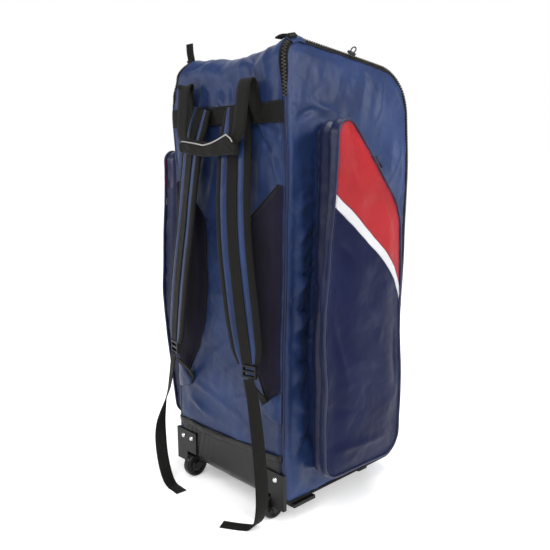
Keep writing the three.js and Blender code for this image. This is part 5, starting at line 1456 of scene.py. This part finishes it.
def build_tail(side, sign):
    rows = TAILS[side]
    end_height = strap_place(sign, STRAP)[-1][2]
    points = strap_place(sign, rows)
    points[:, 2] = rows["up"] * end_height
    route = Route(points, rows["turn"], np.full(len(points), WEBBING_WIDTH), STRAP_STEPS)
    name = f"strap_tail_{side}"
    tail = strip(name, route, flat_section(WEBBING_WALL, -WEBBING_WALL / 2), "webbing")
    declare(tail, name)


def build_anchor(side, sign):
    """The lower webbing of the strap, and the navy wing that sews it into the side seam."""
    route = Route(strap_place(sign, ANCHOR), ANCHOR["turn"], WEBBING_WIDTH * ANCHOR["width"], 10, roll=sign)
    name = f"strap_anchor_{side}"
    declare(strip(name, route, flat_section(WEBBING_WALL, -WEBBING_WALL / 2), "webbing"), name)
    start, end = WING["reach"][[0, -1]]
    reach, v = mesh_grid(spread(start, end, 2.5), np.linspace(-1, 1, 21))
    z = linear(WING, "reach", "middle", reach) + v * linear(WING, "reach", "half", reach)
    from_edge = np.minimum(1 - np.abs(v), (reach - start) / 12)
    lift = 5.2 + 2.6 * np.sqrt(np.clip(from_edge * 3, 0, 1)) - 3.6 * ease((reach - 140) / 24)
    lift = lift + 0.7 * noise(reach, z, 9.0, 131) * from_edge
    points = cloth_point(back_at(z), sign * reach, lift)
    patch(f"strap_wing_{side}", points, reach, z, "navy", WING_WALL, sign < 0)


def handle_place(sign, rows):
    points = strap_place(sign, rows)
    points[:, 0] += rows["sway"] * HANDLE_SWAY
    return points


def build_handle():
    points = np.vstack([handle_place(1, HANDLE), handle_place(-1, HANDLE)[:-1][::-1]])
    turns = np.concatenate([HANDLE["turn"], 180 - HANDLE["turn"][:-1][::-1]])
    widths = np.concatenate([HANDLE["width"], HANDLE["width"][:-1][::-1]]) * HANDLE_WIDTH
    route = Route(points, turns, widths, 10, roll=-1)
    handle = strip("haul_handle", route, flat_section(HANDLE_WALL, -HANDLE_WALL / 2), "webbing")
    declare(handle, "haul_handle")


# The wrap of the haul handle. along: share of its half length. Others in millimetres.
WRAP_LENGTH = 164.0
WRAP_THICKNESS = 14.0
WRAP = table("along rise height", [
    (-1.00, 3, 17), (-0.92, 3, 23), (-0.50, -1, 24), (-0.10, -5, 22), (0.20, -3, 25), (0.50, 2, 31),
    (0.74, 6, 37), (0.88, 2, 31), (1.00, -4, 16),
])


def squared(t, power):
    return np.sign(t) * np.abs(t) ** power


def build_wrap():
    along = np.linspace(-1, 1, 70)
    middle = handle_place(1, HANDLE)[-1]
    rise, height = linear(WRAP, "along", "rise", along), linear(WRAP, "along", "height", along)
    angles = np.linspace(0, 2 * math.pi, 40, endpoint=False)
    fold = 0.8 * noise(along * WRAP_LENGTH / 2, np.zeros_like(along), 18.0, 121)
    crease = 1.2 * noise(along[:, None] * 90 + 30 * np.sin(angles), np.sin(angles) * 30, 16.0, 123)
    half = (WRAP_THICKNESS / 2 + fold)[:, None] + crease
    x = np.broadcast_to((middle[0] + along * WRAP_LENGTH / 2)[:, None], half.shape)
    y = middle[1] + half * squared(np.cos(angles), 0.55)
    z = middle[2] + rise[:, None] + height[:, None] / 2 * squared(np.sin(angles), 0.6)
    rings = np.stack([x, y, z], -1)
    count = len(angles)
    faces = grid_faces(len(along), count, False, True) + end_faces(len(along), count)
    uvs = uv_pairs(angles[None] * WRAP_THICKNESS, (along * WRAP_LENGTH / 2)[:, None])
    declare(mesh_object("handle_wrap", rings.reshape(-1, 3), faces, uvs, "webbing"), "handle_wrap")
    inside = slice(2, -2)
    edge = np.stack([
        x[inside, 0],
        middle[1] - half[inside, count // 2] * 0.8,
        middle[2] + (rise + height * 0.47)[inside],
    ], -1)
    tube("handle_wrap_piping", edge, WRAP_PIPING_RADIUS, "pale_thread")


# Wheels and hard parts
# Half outlines of tyre and hub: radius, and distance inside the wheel's face
TYRE_PROFILE = ((19.5, 1.0), (21.0, 0.2), (23.5, 0.0), (25.6, 1.2), (26.7, 3.2), (27.0, 6.0))
HUB_PROFILE = ((4.6, -0.2), (8.5, 0.0), (9.2, 2.2), (17.0, 3.0), (18.0, 1.0), (19.4, 1.0))
HUB_DISH = (9.1, 17.5)
SPOKE_HEIGHT = 1.6
WHEEL_FACETS = 72


def build_wheel(side):
    """Rubber tyre on a dished plastic hub with a cap."""
    low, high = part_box(f"wheel_{side}")
    centre = np.array((low + high) / 2) * 1000 - SHIFT
    half = WHEEL_WIDTH / 2
    angles = np.linspace(0, 2 * math.pi, WHEEL_FACETS, endpoint=False)
    for name, profile, material in (("tyre", TYRE_PROFILE, "rubber"), ("hub", HUB_PROFILE, "hub")):
        near, deep = np.array(profile).T
        radius = np.concatenate([near, near[::-1]])[None]
        out = np.concatenate([deep - half, half - deep[::-1]])[None]
        if name == "hub":
            dished = (radius > HUB_DISH[0]) & (radius < HUB_DISH[1])
            out = out + np.sign(out) * SPOKE_HEIGHT * bell(np.sin(angles * 2.5), 0.35)[:, None] * dished
        rings = np.broadcast_arrays(
            centre[0] + out,
            centre[1] + radius * np.cos(angles)[:, None],
            centre[2] + radius * np.sin(angles)[:, None],
        )
        points = np.stack(rings, -1).reshape(-1, 3)
        faces = grid_faces(WHEEL_FACETS, radius.size, True, True)
        uvs = uv_pairs(angles[:, None] * WHEEL_RADIUS, out)
        piece = mesh_object(f"wheel_{name}_{side}", points, faces, uvs, material, f"wheel_{side}")
        if name == "tyre":
            declare(piece, f"wheel_{side}")


# Carried-over hard parts: material, and the radius of its rounded edges
CAD_FINISHES = {
    "wheel_housing": ("plastic", 0.9), "corner_skid": ("plastic", 1.2), "front_foot": ("plastic", 1.5),
    "rivet_inner": ("steel", 0.25), "rivet_outer": ("steel", 0.25), "strap_buckle": ("plastic", 0.9),
    "zip_slider": ("webbing", 0.5),
    "pocket_slider_upper": ("plastic", 0.5), "pocket_slider_lower": ("plastic", 0.5),
}


def finish_cad_nodes():
    for base, (material, bevel) in CAD_FINISHES.items():
        for side, _ in SIDES:
            dress(f"{base}_{side}", material, bevel)
    dress("zip_slider_top", "plastic", 0.4)


def dress(name, material, bevel):
    """A carried-over hard part: its material, and its edges rounded."""
    node = nodes[name]
    node.data.materials.clear()
    node.data.materials.append(MATERIALS[material])
    uv = node.data.uv_layers.new(name="cloth")
    for loop in node.data.loops:
        place = node.data.vertices[loop.vertex_index].co
        uv.data[loop.index].uv = (place.x + place.y, place.z)
    modifier = node.modifiers.new("edges", "BEVEL")
    modifier.width = bevel * 0.001
    modifier.segments = 3
    modifier.limit_method = "ANGLE"
    modifier.angle_limit = math.radians(35)
    modifier.harden_normals = True


# Floor, lights and surroundings
def make_floor():
    mesh = bpy.data.meshes.new("floor")
    corners = [(x * FLOOR_REACH, y * FLOOR_REACH, 0) for x, y in ((-1, -1), (1, -1), (1, 1), (-1, 1))]
    mesh.from_pydata(corners, [], [(0, 1, 2, 3)])
    floor = bpy.data.objects.new("floor", mesh)
    bpy.context.scene.collection.objects.link(floor)
    material, tree, shader = new_material("pale_floor")
    shade = noise_node(tree, object_place(tree), 0.6)
    colour = mixed_colour(tree, ranged(tree, shade, 0.0, 1.0), *FLOOR_COLOURS)
    tree.links.new(colour, shader.inputs["Base Color"])
    shader.inputs["Roughness"].default_value = FLOOR_ROUGHNESS
    shader.inputs["Emission Color"].default_value = (1, 1, 1, 1)
    shader.inputs["Emission Strength"].default_value = FLOOR_GLOW
    mesh.materials.append(material)


# Lamps, in metres and watts; angles in degrees
LIGHTS = (
    # name, place, aim, size, power
    ("left", (-1.9, -2.3, 1.5), (0.0, 0.0, 0.6), 0.7, 26.0),
    ("right", (2.9, 0.9, 1.6), (0.1, 0.0, 0.55), 1.3, 66.0),
    ("top", (0.2, 0.4, 2.9), (0.0, 0.0, 0.6), 1.4, 36.0),
)
SUN_ANGLES = (40.0, 0.0, 38.0)
SUN_STRENGTH = 2.3
SUN_SPREAD = 50.0
FAR_SIDE = (-0.727, 0.687, 0.0)
SKY_LOW, SKY_HIGH = 0.22, 1.0
FLOOR_GLOW = 0.28
FLOOR_REACH = 40.0
FLOOR_ROUGHNESS = 0.85
FLOOR_COLOURS = ((0.90, 0.90, 0.90), (0.94, 0.94, 0.94))


def make_lights():
    for name, place, aim, size, power in LIGHTS:
        data = bpy.data.lights.new(name, "AREA")
        data.energy = power
        data.size = size
        lamp = bpy.data.objects.new(name, data)
        lamp.location = place
        lamp.rotation_mode = "QUATERNION"
        lamp.rotation_quaternion = (Vector(aim) - Vector(place)).to_track_quat("-Z", "Y")
        bpy.context.scene.collection.objects.link(lamp)
    data = bpy.data.lights.new("sun", "SUN")
    data.energy = SUN_STRENGTH
    data.angle = math.radians(SUN_SPREAD)
    sun = bpy.data.objects.new("sun", data)
    sun.rotation_euler = [math.radians(angle) for angle in SUN_ANGLES]
    bpy.context.scene.collection.objects.link(sun)
    make_sky()


def make_sky():
    """A studio that is brightest on the far side of the bag."""
    world = bpy.data.worlds.new("studio")
    bpy.context.scene.world = world
    world.use_nodes = True
    tree = world.node_tree
    direction = tree.nodes.new("ShaderNodeTexCoord").outputs["Generated"]
    facing = tree.nodes.new("ShaderNodeVectorMath")
    facing.operation = "DOT_PRODUCT"
    tree.links.new(direction, facing.inputs[0])
    facing.inputs[1].default_value = FAR_SIDE
    strength = ranged(tree, facing.outputs["Value"], SKY_LOW, SKY_HIGH, 0.45, 0.8)
    tree.links.new(strength, tree.nodes["Background"].inputs["Strength"])
    tree.nodes["Background"].inputs["Color"].default_value = (1, 1, 1, 1)


make_camera()
for side_name, side_sign in SIDES:
    build_tail(side_name, side_sign)
make_floor()
make_lights()
build_round_panels()
build_vinyl()
build_hem()
build_front_zip()
build_band()
for side_name, side_sign in SIDES:
    build_side_panel(side_name, side_sign)
    build_edge_trim(side_name, side_sign)
    build_back_pad(side_name, side_sign)
    build_pocket_gusset(side_name, side_sign)
    build_pocket_face(side_name, side_sign)
    build_pocket_zip(side_name, side_sign)
    build_strap(side_name, side_sign)
    build_anchor(side_name, side_sign)
    build_wheel(side_name)
build_handle()
build_wrap()
finish_cad_nodes()
